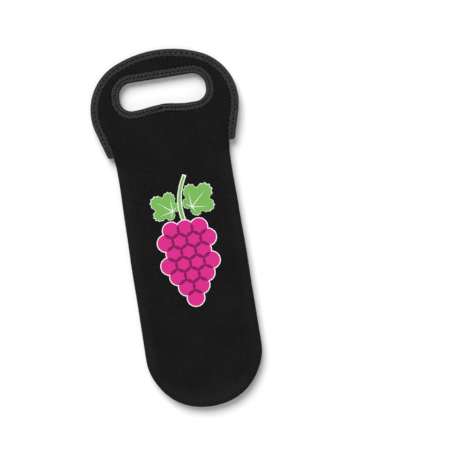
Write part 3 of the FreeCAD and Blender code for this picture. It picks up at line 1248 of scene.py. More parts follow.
    def ends(self, rays: int, arch_rays: int, columns: int) -> list[list[int]]:
        """The four flat faces that close the sheet at the ends of its side seams.

        On each side one closes the end of the ear, outside the pouch's nose, and one the end of the turned
        allowance, under the handle.

        Args:
            rays: Number of rays in the handle's grid.
            arch_rays: How many of them end on the arch.
            columns: Number of points in a row of the pouch's grid.

        Returns:
            Corners as numbers into three blocks in turn: pouch, outer and inner face of the handle.
        """
        inset, height = self.border()
        rows = len(self.shape.outlines.pouch.stations(self.step))
        wide = self.handle_steps + 1
        turn = int(np.argmax(inset <= self.shape.turn + WELD))
        crease = int(np.argmax((height < WELD) & (inset > 0.0)))
        count = rays - arch_rays
        made = []
        for row, sign in ((rows - 1, 1), (0, -1)):
            edge = row * columns + self.field_steps + np.arange(len(inset))
            outward = np.arange(count)[::sign][count // 2 :]
            reach = np.abs(self.fold_x())[outward]
            tip = 0 if sign > 0 else arch_rays - 1
            top = rows * columns + np.append(outward + arch_rays, tip) * wide + self.handle_steps
            low = top + rays * wide
            at_turn, at_crease, at_flat = (
                int(np.argmax(reach >= self.sizes.mouth_half - across - WELD))
                for across in (inset[turn], self.sizes.crease_radius, self.sizes.allowance)
            )
            ear = [*low[at_crease:], *top[at_turn:][::-1], *edge[turn + 1 : crease]]
            turned = [*edge[crease:], *low[at_flat + 1 : at_crease]]
            made += [ear[::sign], turned[::sign]]
        return made

    def build(self, finishes: Finishes) -> bpy.types.Object:
        """Joins the pouch, the two faces of the handle, its edges and its ends into one closed sheet.

        Args:
            finishes: The carrier's materials.

        Returns:
            The panel.
        """
        mesh = Mesh()
        x, y, z, seam = self.pouch_grid()
        rows, columns = x.shape
        flat = self.unrolled(x, y, seam)
        mesh.add(self.shape.carry(x, y, z, self.side), grid_faces(rows, columns), flat, run=seam)
        hx, hy, arch_rays = self.handle_grid()
        rays, wide = hx.shape
        spread = grid_faces(rays, wide, ring_rows=True)
        flat = np.stack([hx, hy], axis=-1)
        for height, faces in zip(self.shape.layer(hx, hy), (spread, spread[:, ::-1])):
            mesh.add(self.shape.carry(hx, hy, height, self.side), faces, flat)
        ring = rows * columns + np.arange(rays) * wide
        mesh.faces = np.concatenate([mesh.faces, self.strip(np.append(ring, ring[0]), rays * wide)])
        rim = ring[:arch_rays] + wide - 1
        mesh.faces = np.concatenate([mesh.faces, self.strip(rim[::-1], rays * wide)])
        mesh.finish = np.zeros(len(mesh.faces), np.int64)
        mesh.odd = self.ends(rays, arch_rays, columns)
        mesh.odd_finish = [0] * len(mesh.odd)
        if self.side is Side.BACK:
            mesh.turn_over()
        panel = mesh.welded().object(f"{self.side.value}_panel", [finishes.knit])
        return self.dress(panel)

    def unrolled(self, x: Floats, y: Floats, seam: Floats) -> Floats:
        """Flat places of the pouch's grid, with the turned border laid out past the edge by its length.

        Args:
            x: x of the grid.
            y: y of the grid.
            seam: Place along and across the seam.

        Returns:
            Places on the flat cloth.
        """
        inset, height = self.border()
        steps = np.hypot(np.diff(inset), np.diff(height))
        reach = self.sizes.allowance - np.append(0.0, np.cumsum(steps))
        cut = slice(self.field_steps, self.field_steps + len(inset) - 1)
        out_x, out_y = self.shape.outlines.pouch.place(seam[:, :1, 0], reach[None, :-1])
        flat = np.stack([x, y], axis=-1)
        flat[:, cut] = np.stack([out_x, out_y], axis=-1)
        return flat

    @staticmethod
    def strip(line: Ints, other: int) -> Ints:
        """Faces between a line of points and the same line a number of points further on."""
        near, far = line[:-1], line[1:]
        return np.stack([near, far, far + other, near + other], axis=-1)

    def dress(self, panel: bpy.types.Object) -> bpy.types.Object:
        """Hides the panel's solids and bakes its place into its mesh."""
        side = self.side.value
        layers = ("outer_knit", "foam_core", "lining")
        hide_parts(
            *[f"{side}_{layer}" for layer in layers],
            *[f"{side}_handle_{layer}" for layer in layers],
        )
        return bend(panel, self.side, self.sizes)


def bend(piece: bpy.types.Object, side: Side, sizes: CarrierSizes) -> bpy.types.Object:
    """Bakes a piece's place into its mesh; the stretch from just below the fold that a bend would follow is
    worked out but not used.

    Args:
        piece: The finished piece.
        side: Its side.
        sizes: The carrier's sizes.

    Returns:
        The piece.
    """
    below, above = 6.0, 34.0
    level = sizes.thickness if side is Side.FRONT else 0.0
    start, end = ((0.0, (sizes.fold_y + shift) * MM, level * MM) for shift in (-below, above))
    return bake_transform(piece)


@dataclass
class Tape:
    """Knit tape folded over one bound edge, pulled in by a zigzag seam."""

    label: str
    track: Track
    side: Side
    shape: RestShape
    start: float
    end: float
    closed: bool = False
    corner: float = 1.8
    slant: float = 0.0
    height: float = 1.6
    fold_reach: float = 2.2
    needle: float = 4.25
    groove: float = 0.24
    groove_reach: float = 0.8
    groove_swing: float = 0.45
    pull: float = 0.3
    pull_reach: float = 1.6
    pull_swing: float = 0.35
    bulge: float = 0.35
    bite: float = 0.2
    lap_ramp: float = 8.0
    lap_lift: float = 0.4
    cut_inset: float = 7.2
    cut_reach: float = 4.0
    # Width of the painted shadow along the cut of a lapped end.
    end_shade: float = 1.1
    trim: float = 6.0
    step_reach: float = 0.7
    loose_share: float = 0.55
    loose_reach: float = 3.0
    inner_share: float = 0.6
    per_zigzag: int = 8
    shares: tuple[float, ...] = (
        *(1.0, 0.95, 0.88, 0.78, 0.68, 0.6, 0.531),
        *(0.46, 0.37, 0.275, 0.19, 0.115, 0.06, 0.02),
    )

    def beat(self, travel: Floats, back: bool = False) -> Floats:
        """Zigzags sewn from the track's start to places along it, each stretch with a length of its own.

        Args:
            travel: Places along the track, which goes on past its end as from its start.
            back: Whether to go back from zigzags to places.

        Returns:
            The zigzags, or the places.
        """
        ends = np.append(0.0, self.track.ends)
        counts = np.append(0.0, np.cumsum(np.diff(ends) / STITCHES[self.label]))
        source, target = (counts, ends) if back else (ends, counts)
        laps = np.floor(travel / source[-1])
        return laps * target[-1] + np.interp(travel - laps * source[-1], source, target)

    def lift(self, travel: Floats) -> Floats:
        """How far the tape stands off where it laps over its own start."""
        if not self.closed:
            return 0.0 * travel
        over = self.track.length + self.start
        return self.lap_lift * ease((travel - over + self.lap_ramp) / self.lap_ramp)

    def edge(self, travel: Floats) -> Floats:
        """Inset of the tape's free edge: bulging between stitches, and bitten in where thread holds it."""
        held = (0.5 - 0.5 * np.cos(2.0 * math.pi * self.beat(travel))) ** 3
        return self.shape.sizes.tape_width + self.bulge * (1.0 - held) - self.bite * held

    def cut(self, inset: Floats) -> Floats:
        """How much the tape's ends are cut back across it: at a slant, or in a long bow where it laps."""
        if not self.closed:
            return self.slant * (1.0 - inset / self.shape.sizes.tape_width)
        return self.slant * ease((self.cut_inset - inset) / self.cut_reach)

    def face(self, travel: Floats, inset: Floats) -> Floats:
        """Height of the tape's face over the handle's middle.

        A superellipse rises from the fold. A groove along the needle line is deepest at each needle hole, and
        the free edge dips where the thread comes over it, half a zigzag further on.

        Args:
            travel: Place along the tape.
            inset: Place across it, from the fold.

        Returns:
            The height.
        """
        phase = np.cos(2.0 * math.pi * self.beat(travel))
        line = bell(inset - self.needle, self.groove_reach) * (1.0 - self.groove_swing * (1.0 - phase))
        at_edge = ease((inset - self.shape.sizes.tape_width + self.pull_reach) / self.pull_reach)
        edge = at_edge * (1.0 - self.pull_swing * (1.0 + phase))
        rounded = crown(np.asarray(inset) / self.fold_reach, self.shape.edge_power)
        return self.height * rounded - self.groove * line - self.pull * edge

    def surface(self, travel: Floats, inset: Floats) -> Floats:
        """Height that a thread lies on: the tape's face, and past its edge the panel's."""
        edge = self.edge(travel)
        on_tape = self.face(travel, np.minimum(inset, edge)) + self.lift(travel)
        past = ease((inset - edge) / self.step_reach)
        return on_tape * (1.0 - past) + self.shape.pressed_at(inset) * past

    def section(self, travel: Floats) -> tuple[Floats, Floats]:
        """Section of the tape: its outer face from edge to fold to edge, and back along its inner face.

        Args:
            travel: Places along the tape, one row each.

        Returns:
            Inset and height of each point.
        """
        sizes = self.shape.sizes
        travel = travel[:, None]
        half = np.array(self.shares) * sizes.tape_width
        loose = ease((half - self.loose_share * sizes.tape_width) / self.loose_reach)
        half = half + (self.edge(travel) - sizes.tape_width) * loose
        over = self.face(travel, half)
        inner = np.array([self.inner_share * sizes.tape_width, sizes.tape_thickness])
        inner = np.broadcast_to(inner, (len(travel), 2))
        inner = np.concatenate([half[:, :1], inner], axis=1)
        inner_height = sizes.pressed_half * np.ones_like(inner)
        inset = np.concatenate([half, 0.0 * travel, half[:, ::-1], inner, inner[:, ::-1]], axis=1)
        height = np.concatenate([over, 0.0 * travel, -over[:, ::-1], -inner_height, inner_height], axis=1)
        lift = self.lift(travel)
        stands = np.clip(height / sizes.pressed_half, -1.0, 1.0)
        near_fold = 1.0 - ease(inset / self.fold_reach)
        return inset - lift * near_fold, height + lift * stands

    def stations(self) -> Floats:
        """Places along the tape, evenly within each zigzag, and one at either end."""
        first, last = self.per_zigzag * self.beat(np.array([self.start, self.end]))
        steps = np.arange(math.floor(first) + 1, math.ceil(last))
        inner = self.beat(steps / self.per_zigzag, back=True)
        return np.concatenate([[self.start], inner, [self.end]])

    def spots(self, travel: Floats, inset: Floats, height: Floats) -> Floats:
        """Points at places along, across and above the tape, carried into the rest shape."""
        around = travel % self.track.length if self.closed else travel
        x, y = self.track.place(around, inset)
        return self.shape.carry(x, y, self.shape.middle(x, y) + height, self.side)

    def trimmed(self, travel: Floats, inset: Floats) -> Floats:
        """Places along the tape with its ends cut: rounded outer corners, or a slant where it laps.

        Args:
            travel: Places along the tape.
            inset: Places across it.

        Returns:
            The moved places along.
        """
        short = np.clip(self.corner - inset, 0.0, self.corner)
        short = self.corner - np.sqrt(self.corner**2 - short**2)
        short = short + self.cut(inset)
        zone = self.trim + 2.0 * self.slant
        at_start = 1.0 - np.clip((travel - self.start) / zone, 0.0, 1.0)
        at_end = 1.0 - np.clip((self.end - travel) / zone, 0.0, 1.0)
        return travel + short * (at_start - at_end)

    def end_shade_faces(self, along: Floats, inset: Floats) -> Ints:
        """Material of each face of the tape's grid: 1 on a painted shadow along the cut of an end that laps,
        or else 0.

        The way to the end is measured along the tape, and shortened by the slope of the cut, which is its
        slant times 6u - 6u².

        Args:
            along: Places of the grid's points along the tape.
            inset: Their places across it.

        Returns:
            The numbers, in the order of the faces.
        """
        share = np.clip((self.cut_inset - inset) / self.cut_reach, 0.0, 1.0)
        slope = 6.0 * share * (1.0 - share) * self.slant / self.cut_reach
        left = (self.end - self.cut(inset) - along) / np.hypot(1.0, slope)
        dark = (left < self.end_shade) & (share < 1.0)
        return (self.closed & dark)[:-1].ravel().astype(np.int64)

    def build(self, finishes: Finishes) -> bpy.types.Object:
        """Carries the section along the edge and closes its two ends.

        Args:
            finishes: The carrier's materials.

        Returns:
            The tape.
        """
        travel = self.stations()
        inset, height = self.section(travel)
        rows, columns = inset.shape
        along = self.trimmed(np.broadcast_to(travel[:, None], inset.shape), inset)
        width = np.append(0.0, np.cumsum(np.hypot(np.diff(inset[0]), np.diff(height[0]))))
        mesh = Mesh()
        mesh.add(
            self.spots(along, inset, height),
            grid_faces(rows, columns, ring_columns=True),
            np.stack(np.broadcast_arrays(along, width[None, :]), axis=-1),
            end_faces(rows, columns),
            np.stack([self.beat(along), inset], axis=-1),
        )
        # Painted shadow along the cut of the end that laps.
        mesh.finish = self.end_shade_faces(along, inset)
        if self.side is Side.BACK:
            mesh.turn_over()
        materials = [finishes.tapes[self.label], finishes.mark]
        tape = mesh.object(f"{self.side.value}_{self.label}_tape", materials[: 1 + self.closed])
        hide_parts(f"{self.side.value}_{self.label}_binding")
        return bend(tape, self.side, self.shape.sizes)


@dataclass
class Zigzag:
    """Zigzag seam of one tape: from the tape's middle to just past its free edge, on both faces."""

    tape: Tape
    outer: float = 8.35
    radius: float = 0.2
    points: int = 7
    around: int = 6
    proud: float = 0.06
    sink: float = 0.3
    margin: float = 0.6
    # A dark flattened ball of painted shade sits in each needle hole.
    bead: float = 0.11
    bead_rise: float = 0.25
    mark_around: int = 8
    mark_rings: int = 5
    mark_radius: float = 1.05
    edge_radius: float = 0.8
    again: float = 23.0
    short: float = 4.5

    def passes(self) -> list[tuple[float, float, float]]:
        """Where the seam runs: its first and last zigzag, to the half, and its shift as a share of one.

        A closed tape's seam starts where the upper end leaves off, and over the lap it is sewn twice.

        Returns:
            One entry for each run of the needle.
        """
        tape, length = self.tape, self.tape.track.length
        inside = tape.slant + self.margin
        spans = [(tape.start + inside, tape.end - inside, 0.0)]
        if tape.closed:
            first = tape.end - length - float(tape.cut(np.float64(tape.needle)))
            last = length - self.short
            spans = [(first, last, 0.0), (length - self.again, last, 0.5)]
        return [
            (math.ceil(2.0 * tape.beat(first)) / 2.0, math.floor(2.0 * tape.beat(last)) / 2.0, shift)
            for first, last, shift in spans
        ]

    def path(self, face: float, first: float, last: float, shift: float) -> tuple[Floats, Floats, Floats]:
        """The thread's way: straight from hole to hole in the flat, bowed up between and sunk at each hole.

        Args:
            face: 1 for the tape's outer face, -1 for its inner one.
            first: The zigzag that it starts with.
            last: The one it ends with.
            shift: By what share of a zigzag it is shifted.

        Returns:
            Places along and across the tape, and heights.
        """
        tape = self.tape
        count = round(2.0 * (last - first)) * self.points
        share = np.arange(count + 1) / self.points
        beat = first + share / 2.0
        travel = tape.beat(beat, back=True)
        wave = np.abs((beat + 0.5 + shift) % 1.0 - 0.5) * 2.0
        inset = tape.needle + (self.outer - tape.needle) * wave
        bow = np.sqrt(np.abs(np.sin(math.pi * share)))
        height = tape.surface(travel, inset) + self.proud - (1.0 - bow) * self.sink
        return travel, inset, face * height

    def marks(self, mesh: Mesh, face: float) -> None:
        """Adds painted shade in each needle hole: a dark flattened ball sunk there, worked out for all holes
        at once.

        Args:
            mesh: The mesh to add to.
            face: 1 for the tape's outer face, -1 for its inner one.
        """
        runs = [self.path(face, *run) for run in self.passes()]
        travel, inset = (np.concatenate([run[k][:: self.points] for run in runs]) for k in (0, 1))
        around = 2.0 * math.pi * np.arange(self.mark_around) / self.mark_around
        polar = np.linspace(0.0, math.pi, self.mark_rings)
        rise = self.bead * (self.bead_rise + np.cos(polar))
        radius = np.where(inset > (self.outer + self.tape.needle) / 2.0, self.edge_radius, self.mark_radius)
        ring = radius[:, None, None] * np.sin(polar)
        beat = self.tape.beat(travel)[:, None, None]
        beat = beat + ring * np.cos(around)[None, :, None] / max(STITCHES[self.tape.label])
        along = self.tape.beat(beat, back=True)
        across = inset[:, None, None] + ring * np.sin(around)[None, :, None]
        height = face * (self.tape.surface(along, across) + rise[None, None, :])
        faces = grid_faces(self.mark_around, self.mark_rings, ring_rows=True)
        before = self.mark_around * self.mark_rings * np.arange(len(travel))
        faces = (faces[None] + before[:, None, None]).reshape(-1, 4)
        faces = faces if face > 0.0 else faces[:, ::-1]
        flat = np.stack([along, across], axis=-1)
        mesh.add(self.tape.spots(along, across, height), faces, flat, finish=1)

    def build(self, finishes: Finishes) -> bpy.types.Object:
        """Makes the thread on both faces, with painted shade in its needle holes.

        Args:
            finishes: The carrier's materials.

        Returns:
            The thread.
        """
        tape, mesh, hole_shades = self.tape, Mesh(), Mesh()
        for face in (1.0, -1.0):
            for run in self.passes():
                mesh.add(*tube(tape.spots(*self.path(face, *run)), self.radius, self.around))
            self.marks(hole_shades, face)
        if tape.side is Side.BACK:
            hole_shades.turn_over()
        mesh.add(hole_shades.points, hole_shades.faces, hole_shades.flat, finish=1)
        name = f"{tape.side.value}_{tape.label}"
        thread = mesh.welded().object(f"{name}_thread", [finishes.thread, finishes.mark])
        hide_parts(f"{name}_stitching")
        return bend(thread, tape.side, tape.shape.sizes)


@dataclass
class SideSeam:
    """The seam between the panels: a running thread in the crease, and a dense tack at each end of it."""

    shape: RestShape
    tack: float = 9.0
    stitch: float = 3.0
    per_stitch: int = 8
    radius: float = 0.3
    around: int = 6
    weave_inset: float = 0.62
    weave_swing: float = 0.26
    weave_rise: float = 0.1
    tack_start: float = 0.4
    tack_radius: float = 0.2
    tack_pitch: float = 0.75
    tack_reach: float = 1.45
    tack_inset: float = 0.3
    per_turn: int = 12

    def thread(self, finishes: Finishes) -> None:
        """Runs along the crease and weaves in and out, and up and down, once a stitch.

        Args:
            finishes: The carrier's materials.
        """
        track = self.shape.outlines.pouch
        travel = np.arange(self.tack, track.length - self.tack, self.stitch / self.per_stitch)
        phase = 2.0 * math.pi * travel / self.stitch
        x, y = track.place(travel, self.weave_inset - self.weave_swing * np.cos(phase))
        path = self.shape.carry(x, y, self.weave_rise * np.sin(phase), Side.FRONT)
        mesh = Mesh()
        mesh.add(*tube(path, self.radius, self.around))
        self.dress(mesh.object("seam_thread", [finishes.thread]), "side_seam_thread")

    def tacks(self, finishes: Finishes) -> None:
        """Winds thread back and forth over both noses, tight together, at the two ends of the seam.

        Args:
            finishes: The carrier's materials.
        """
        track = self.shape.outlines.pouch
        turns = np.arange(0.0, self.tack / self.tack_pitch, 1.0 / self.per_turn)
        ends = (("left", self.tack_start, 1.0), ("right", track.length - self.tack_start, -1.0))
        for name, start, sign in ends:
            travel = start + sign * turns * self.tack_pitch
            height = self.tack_reach * np.sin(2.0 * math.pi * turns)
            over = np.abs(height) / self.tack_reach
            x, y = track.place(travel, self.tack_inset * np.sqrt(1.0 - over) - self.tack_radius)
            path = self.shape.carry(x, y, height, Side.FRONT)
            mesh = Mesh()
            mesh.add(*tube(path, self.tack_radius, self.around))
            self.dress(mesh.object(f"{name}_tack", [finishes.thread]), f"{name}_seam_tack")

    @staticmethod
    def dress(piece: bpy.types.Object, node: str) -> None:
        """Ties a piece of the seam to its solid, on the pouch."""
        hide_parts(node)
        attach(piece, "pouch")


@dataclass(frozen=True)
class Leaf:
    """One vine leaf of the print: its place from the bunch's top, its tip's direction and its reach."""

    x: float
    y: float
    lean: float
    size: float
    lobes: int = 5
    lobe_power: float = 0.7
    lobe_depth: float = 0.38
    tip_depth: float = 0.22
    teeth: int = 30
    tooth: float = 0.035

    def edge(self, count: int, spare: float = 0.0) -> Floats:
        """Reach of the leaf's edge: lobes about its lean, with a fine tooth on them.

        Args:
            count: In how many evenly spaced directions.
            spare: How much larger the leaf is drawn.

        Returns:
            Distance of the edge from the leaf's middle.
        """
        angle = 2.0 * math.pi * np.arange(count) / count - self.lean
        lobes = np.abs(np.cos(self.lobes / 2.0 * angle)) ** self.lobe_power
        tip = 1.0 - self.tip_depth + self.tip_depth * np.cos(angle)
        deep = 1.0 - self.lobe_depth + self.lobe_depth * lobes
        return (self.size + spare) * tip * deep * (1.0 + self.tooth * np.cos(self.teeth * angle))


@dataclass
class FruitPrint:
    """A printed bunch of grapes on the front of the pouch, in thin films of ink on the knit.

    A film's layer is how many films lie below it, and a small step tells apart those that lie side by side.
    """

    shape: RestShape
    centre_x: float = 1.0
    top_y: float = -1.0
    grape: float = 9.2
    pitch: float = 15.2
    row_share: float = 0.83
    near_share: float = 1.9
    keyline: float = 0.9
    film: float = 0.025
    film_sink: float = 0.5
    grape_step: float = 0.01
    leaf_step: float = 0.1
    shade_layer: float = 1.6
    leaf_layer: float = 2.0
    vein_layer: float = 3.4
    stem_layer: float = 4.0
    rows: tuple[int, ...] = (3, 4, 3, 4, 3, 2, 1)
    around: int = 40
    bunch_top: float = 14.0
    leaves: tuple[Leaf, ...] = (Leaf(-15.0, 10.0, 2.5, 20.0), Leaf(16.0, 13.0, 0.75, 23.0))
    veins: tuple[float, ...] = (-2.4, -1.26, 0.0, 1.26, 2.4)
    vein_points: int = 9
    vein_reach: tuple[float, float] = (0.74, 0.1)
    vein_foot: float = 0.3
    vein_width: tuple[float, float] = (0.99, 0.9)
    stem_points: int = 49
    stem_foot: float = 4.6
    stem_rise: float = 48.6
    stem_bow: tuple[float, float] = (9.0, 3.0)
    stem_widths: tuple[float, float] = (5.4, 3.4)
    stem_taper: float = 1.2

    def grapes(self) -> Floats:
        """Centres of the grapes: rows of a hexagonal pack, each row centred."""
        spots = [
            (
                self.centre_x + (number - (count - 1) / 2.0) * self.pitch,
                self.top_y - row * self.pitch * self.row_share,
            )
            for row, count in enumerate(self.rows)
            for number in range(count)
        ]
        return np.array(spots)

    def levels(self, layer: float) -> tuple[float, float]:
        """Heights of a film's top and bottom; the bottom sinks into what lies below it."""
        face = self.shape.sizes.seam_z
        return face + self.film * (layer + 1.0), face + self.film * max(0.0, layer - self.film_sink)

    def blob(self, mesh: Mesh, spot: Sequence[float], reach: Floats, layer: float, ink: Ink) -> None:
        """Adds one film whose edge lies at a reach from its middle in every direction.

        The section goes from the middle over the top to the edge, down it, and back below to the middle.

        Args:
            mesh: The mesh to add to.
            spot: Middle of the film.
            reach: Distance of its edge, for evenly spaced directions.
            layer: How many films lie below it.
            ink: Its ink.
        """
        angle = 2.0 * math.pi * np.arange(len(reach)) / len(reach)
        share = np.array([0.0, 0.35, 0.7, 1.0, 1.0, 0.5, 0.0])
        top, low = self.levels(layer)
        x = spot[0] + reach[:, None] * share[None, :] * np.cos(angle)[:, None]
        y = spot[1] + reach[:, None] * share[None, :] * np.sin(angle)[:, None]
        z = np.broadcast_to([top] * 4 + [low] * 3, x.shape)
        faces = grid_faces(len(reach), len(share), ring_rows=True)
        mesh.add(self.shape.carry(x, y, z, Side.FRONT), faces, np.stack([x, y], axis=-1), finish=ink)

    def lens(self, offset: Floats) -> Floats:
        """Reach of the lens that two grapes share, from its middle: the nearer of their two circles.

        Args:
            offset: From one grape's middle to the other's.

        Returns:
            Distance of the lens's edge, for evenly spaced directions.
        """
        gap, lean = float(np.hypot(*offset)) / 2.0, math.atan2(offset[1], offset[0])
        angle = 2.0 * math.pi * np.arange(self.around) / self.around - lean
        return np.sqrt(self.grape**2 - (gap * np.sin(angle)) ** 2) - gap * np.abs(np.cos(angle))

    def band(self, mesh: Mesh, x: Floats, y: Floats, width: Floats, layer: float, ink: Ink) -> None:
        """Adds a flat band of ink along a path, as wide at each point as given.

        Args:
            mesh: The mesh to add to.
            x: x of the path.
            y: y of the path.
            width: Its width along the path.
            layer: How many films lie below it.
            ink: Its ink.
        """
        dx, dy = np.gradient(x), np.gradient(y)
        size = np.hypot(dx, dy)
        side = np.array([1.0, -1.0, -1.0, 1.0]) / 2.0
        bx = x[:, None] - (dy / size * width)[:, None] * side
        by = y[:, None] + (dx / size * width)[:, None] * side
        top, low = self.levels(layer)
        z = np.broadcast_to([top, top, low, low], bx.shape)
        faces, ends = grid_faces(*bx.shape, ring_columns=True), end_faces(*bx.shape)
        flat = np.stack([bx, by], axis=-1)
        mesh.add(self.shape.carry(bx, by, z, Side.FRONT), faces, flat, ends, finish=ink)

    def bunch(self, mesh: Mesh) -> None:
        """Adds the keyline, the grapes and the shade where two of them overlap."""
        spots, even = self.grapes(), np.ones(self.around)
        for number, spot in enumerate(spots):
            step = self.grape_step * number
            self.blob(mesh, spot, (self.grape + self.keyline) * even, step, Ink.WHITE)
            self.blob(mesh, spot, self.grape * even, 1.0 + step, Ink.MAGENTA)
        one, other = np.triu_indices(len(spots), 1)
        offset = spots[other] - spots[one]
        near = np.hypot(*offset.T) < self.near_share * self.grape
        for spot, gap in zip((spots[one] + spots[other])[near] / 2.0, offset[near]):
            self.blob(mesh, spot, self.lens(gap), self.shade_layer, Ink.PLUM)

    def foliage(self, mesh: Mesh, base: Floats) -> None:
        """Adds the leaves, each with a keyline and with veins that fan out from its foot.

        Args:
            mesh: The mesh to add to.
            base: Top of the bunch.
        """
        share = np.linspace(0.0, 1.0, self.vein_points)
        width = self.vein_width[0] - self.vein_width[1] * share
        for number, leaf in enumerate(self.leaves):
            step, spot = self.leaf_step * number, base + [leaf.x, leaf.y]
            layer = self.leaf_layer + step
            self.blob(mesh, spot, leaf.edge(4 * self.around, self.keyline), layer, Ink.WHITE)
            self.blob(mesh, spot, leaf.edge(4 * self.around), layer + 1.0, Ink.GREEN)
            foot = -self.vein_foot * leaf.size * (1.0 - share)
            for turn in self.veins:
                reach = leaf.size * (self.vein_reach[0] - self.vein_reach[1] * abs(turn)) * share
                x = spot[0] + foot * math.cos(leaf.lean) + reach * math.cos(leaf.lean + turn)
                y = spot[1] + foot * math.sin(leaf.lean) + reach * math.sin(leaf.lean + turn)
                self.band(mesh, x, y, width, self.vein_layer + step, Ink.WHITE)

    def stem(self, mesh: Mesh, base: Floats) -> None:
        """Adds the bowed stem on its keyline.

        Args:
            mesh: The mesh to add to.
            base: Top of the bunch.
        """
        share = np.linspace(0.0, 1.0, self.stem_points)
        x = base[0] + self.stem_bow[0] * share**2 - self.stem_bow[1] * np.sin(3.0 * share)
        y = base[1] - self.stem_foot + self.stem_rise * share
        outer, inner = (width - self.stem_taper * share for width in self.stem_widths)
        self.band(mesh, x, y, outer, self.stem_layer, Ink.WHITE)
        self.band(mesh, x[1:-1], y[1:-1], inner[1:-1], self.stem_layer + 1.0, Ink.GREEN)

    def build(self, finishes: Finishes) -> None:
        """Prints the bunch, its leaves and its stem on the pouch.

        Args:
            finishes: The carrier's materials.
        """
        mesh = Mesh()
        base = np.array([self.centre_x, self.top_y + self.bunch_top])
        self.bunch(mesh)
        self.foliage(mesh, base)
        self.stem(mesh, base)
        made = mesh.welded().object("front_print", finishes.inks, sharp=40.0)
        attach(made, "pouch")


@dataclass(frozen=True)
class Lamp:
    """One broad light: its strength, its spread in degrees, and its place right, up and out of the view."""

    name: str
    strength: float
    spread: float
    place: tuple[float, float, float]


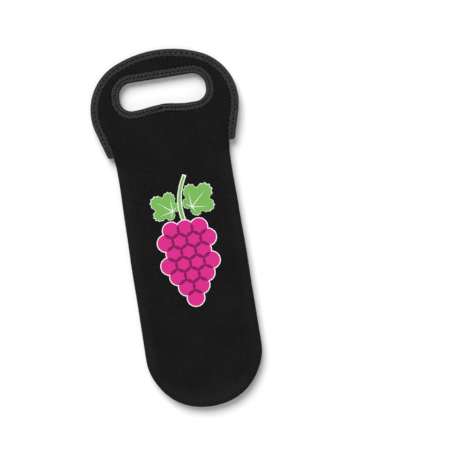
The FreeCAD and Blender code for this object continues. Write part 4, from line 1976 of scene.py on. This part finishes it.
@dataclass(frozen=True)
class Studio:
    """White table, soft light from the upper left and a camera straight above, turned as the photo is."""

    tilt: float = 9.1
    scale: float = 1.0886
    image: int = 470
    origin_px: tuple[float, float] = (184.1, 227.95)
    distance: float = 1900.0
    sensor: float = 36.0
    sight: float = 20.0
    table: float = 6.0
    table_drop: float = 0.3
    paper: float = 0.93
    paper_glow: float = 0.06
    zenith: float = 0.15
    horizon: float = 0.8
    lamps: tuple[Lamp, ...] = (
        Lamp("key_light", 3.2, 45.0, (-0.42, 0.85, 0.93)),
        Lamp("fill_light", 0.45, 60.0, (0.45, -0.8, 0.4)),
    )

    def camera(self, level: float) -> None:
        """Stands above the middle of the picture; its width there is the picture's pixels at the scale.

        Args:
            level: Height at which the scale holds, in millimetres.
        """
        lens = bpy.data.cameras.new("photo_camera")
        lens.sensor_width = self.sensor
        lens.lens = self.sensor * self.distance / (self.image * self.scale)
        lens.clip_end = self.sight
        camera = bpy.data.objects.new("photo_camera", lens)
        turn = math.radians(self.tilt)
        right, down = (self.image / 2.0 - place for place in self.origin_px)
        x = self.scale * (right * math.cos(turn) - down * math.sin(turn))
        y = -self.scale * (right * math.sin(turn) + down * math.cos(turn))
        camera.location = (x * MM, y * MM, (level + self.distance) * MM)
        camera.rotation_euler = (0.0, 0.0, -turn)
        bpy.context.scene.collection.objects.link(camera)
        bpy.context.scene.camera = camera

    def hang(self, lamp: Lamp) -> None:
        """Adds one lamp as an even light that comes from its place in the picture.

        Args:
            lamp: The lamp.
        """
        light = bpy.data.lights.new(lamp.name, "SUN")
        light.energy, light.angle = lamp.strength, math.radians(lamp.spread)
        made = bpy.data.objects.new(lamp.name, light)
        turn = math.radians(self.tilt)
        right, up, out = lamp.place
        x, y = right * math.cos(turn) + up * math.sin(turn), up * math.cos(turn) - right * math.sin(turn)
        made.location = (x, y, out)
        made.rotation_euler = (math.atan2(math.hypot(x, y), out), 0.0, math.atan2(x, -y))
        bpy.context.scene.collection.objects.link(made)

    def surroundings(self) -> bpy.types.World:
        """A pale room: dim overhead and lighter towards the horizon, and white where the camera sees it."""
        world = bpy.data.worlds.new("studio")
        world.use_nodes = True
        book = NodeBook(world.node_tree)
        way = book.node("ShaderNodeTexCoord", {}, {})
        split = book.node("ShaderNodeSeparateXYZ", {}, {0: way.outputs["Generated"]})
        low = 1.0 - book.tone(split, 2).math("MAXIMUM", 0.0)
        glow = low * (self.horizon - self.zenith) + self.zenith
        seen = book.seen()
        strength = seen + (1.0 - seen) * glow
        light = book.node("ShaderNodeBackground", {}, {"Color": (1.0, 1.0, 1.0, 1.0), "Strength": strength})
        book.node("ShaderNodeOutputWorld", {}, {"Surface": light.outputs[0]})
        return world

    def build(self, level: float) -> None:
        """Sets up the table, the light and the camera.

        Args:
            level: Height at which the picture's scale holds, in millimetres.
        """
        scene = bpy.context.scene
        scene.view_settings.view_transform = "Standard"
        self.camera(level)
        for lamp in self.lamps:
            self.hang(lamp)
        scene.world = self.surroundings()
        corner = self.table / 2.0
        low = -self.table_drop * MM
        mesh = bpy.data.meshes.new("table")
        ways = ((-1.0, -1.0), (1.0, -1.0), (1.0, 1.0), (-1.0, 1.0))
        square = [(corner * x, corner * y, low) for x, y in ways]
        mesh.from_pydata(square, [], [(0, 1, 2, 3)])
        mesh.materials.append(self.table_finish())
        table = bpy.data.objects.new("table", mesh)
        scene.collection.objects.link(table)

    def table_finish(self) -> bpy.types.Material:
        """Matt white that a camera ray sees a trace lighter, so that it reads as white paper."""
        material, book = new_material("white_table")
        values = {"Base Color": (*[self.paper] * 3, 1.0), "Roughness": 1.0, "Specular IOR Level": 0.0}
        paper = book.node("ShaderNodeBsdfPrincipled", {}, values)
        glow = book.node("ShaderNodeEmission", {}, {"Strength": book.seen() * self.paper_glow})
        both = book.node("ShaderNodeAddShader", {}, {0: paper.outputs[0], 1: glow.outputs[0]})
        book.node("ShaderNodeOutputMaterial", {}, {"Surface": both.outputs[0]})
        return material


def declare(
    panel: bpy.types.Object,
    lines: Outlines,
) -> None:
    """Says what cloth a panel was cut from: as wide as the handle, and an allowance longer than the carrier.

    Args:
        panel: The panel.
        lines: The carrier's outlines.
    """
    sizes = lines.sizes
    turned = sizes.allowance + sizes.panel
    area = lines.enclosed(lines.arch) - lines.enclosed(lines.grip) + lines.enclosed(lines.pouch, -turned)
    flat = (sizes.handle_width * MM, (sizes.length + turned) * MM)
    log.info("%s: cut from %.3f x %.3f m, %.4f square metres", panel.name, *flat, area * MM * MM)


def build_side(side: Side, shape: RestShape, finishes: Finishes) -> None:
    """Builds one panel with its two tapes and their seams.

    Args:
        side: Which panel.
        shape: The carrier's rest shape.
        finishes: The carrier's materials.
    """
    lines = shape.outlines
    panel = Panel(side, shape).build(finishes)
    arch, hole = lines.arch, lines.grip
    spare, lap, lap_slant, lap_corner = 0.3, 18.3, 17.3, 0.4
    lean = shape.sizes.tape_width / math.tan(arch.runs[0].heading)
    past = spare + lean
    rim = Tape("rim", arch, side, shape, -past, arch.length + past, slant=lean)
    grip = Tape("grip", hole, side, shape, -lap, hole.length + lap, True, lap_corner, lap_slant)
    made = []
    for tape in (rim, grip):
        made += [tape.build(finishes), Zigzag(tape).build(finishes)]
    declare(panel, lines)


def main() -> None:
    """Builds the studio and every piece of the carrier."""
    logging.basicConfig(level=logging.INFO, format="%(message)s")
    sizes = CarrierSizes.from_frame()
    shape = RestShape(sizes, Outlines(sizes))
    finishes = Finishes.make()
    Studio().build(sizes.seam_z)
    for side in (Side.BACK, Side.FRONT):
        build_side(side, shape, finishes)
    seam = SideSeam(shape)
    seam.thread(finishes)
    seam.tacks(finishes)
    FruitPrint(shape).build(finishes)


if __name__ == "__main__":
    main()
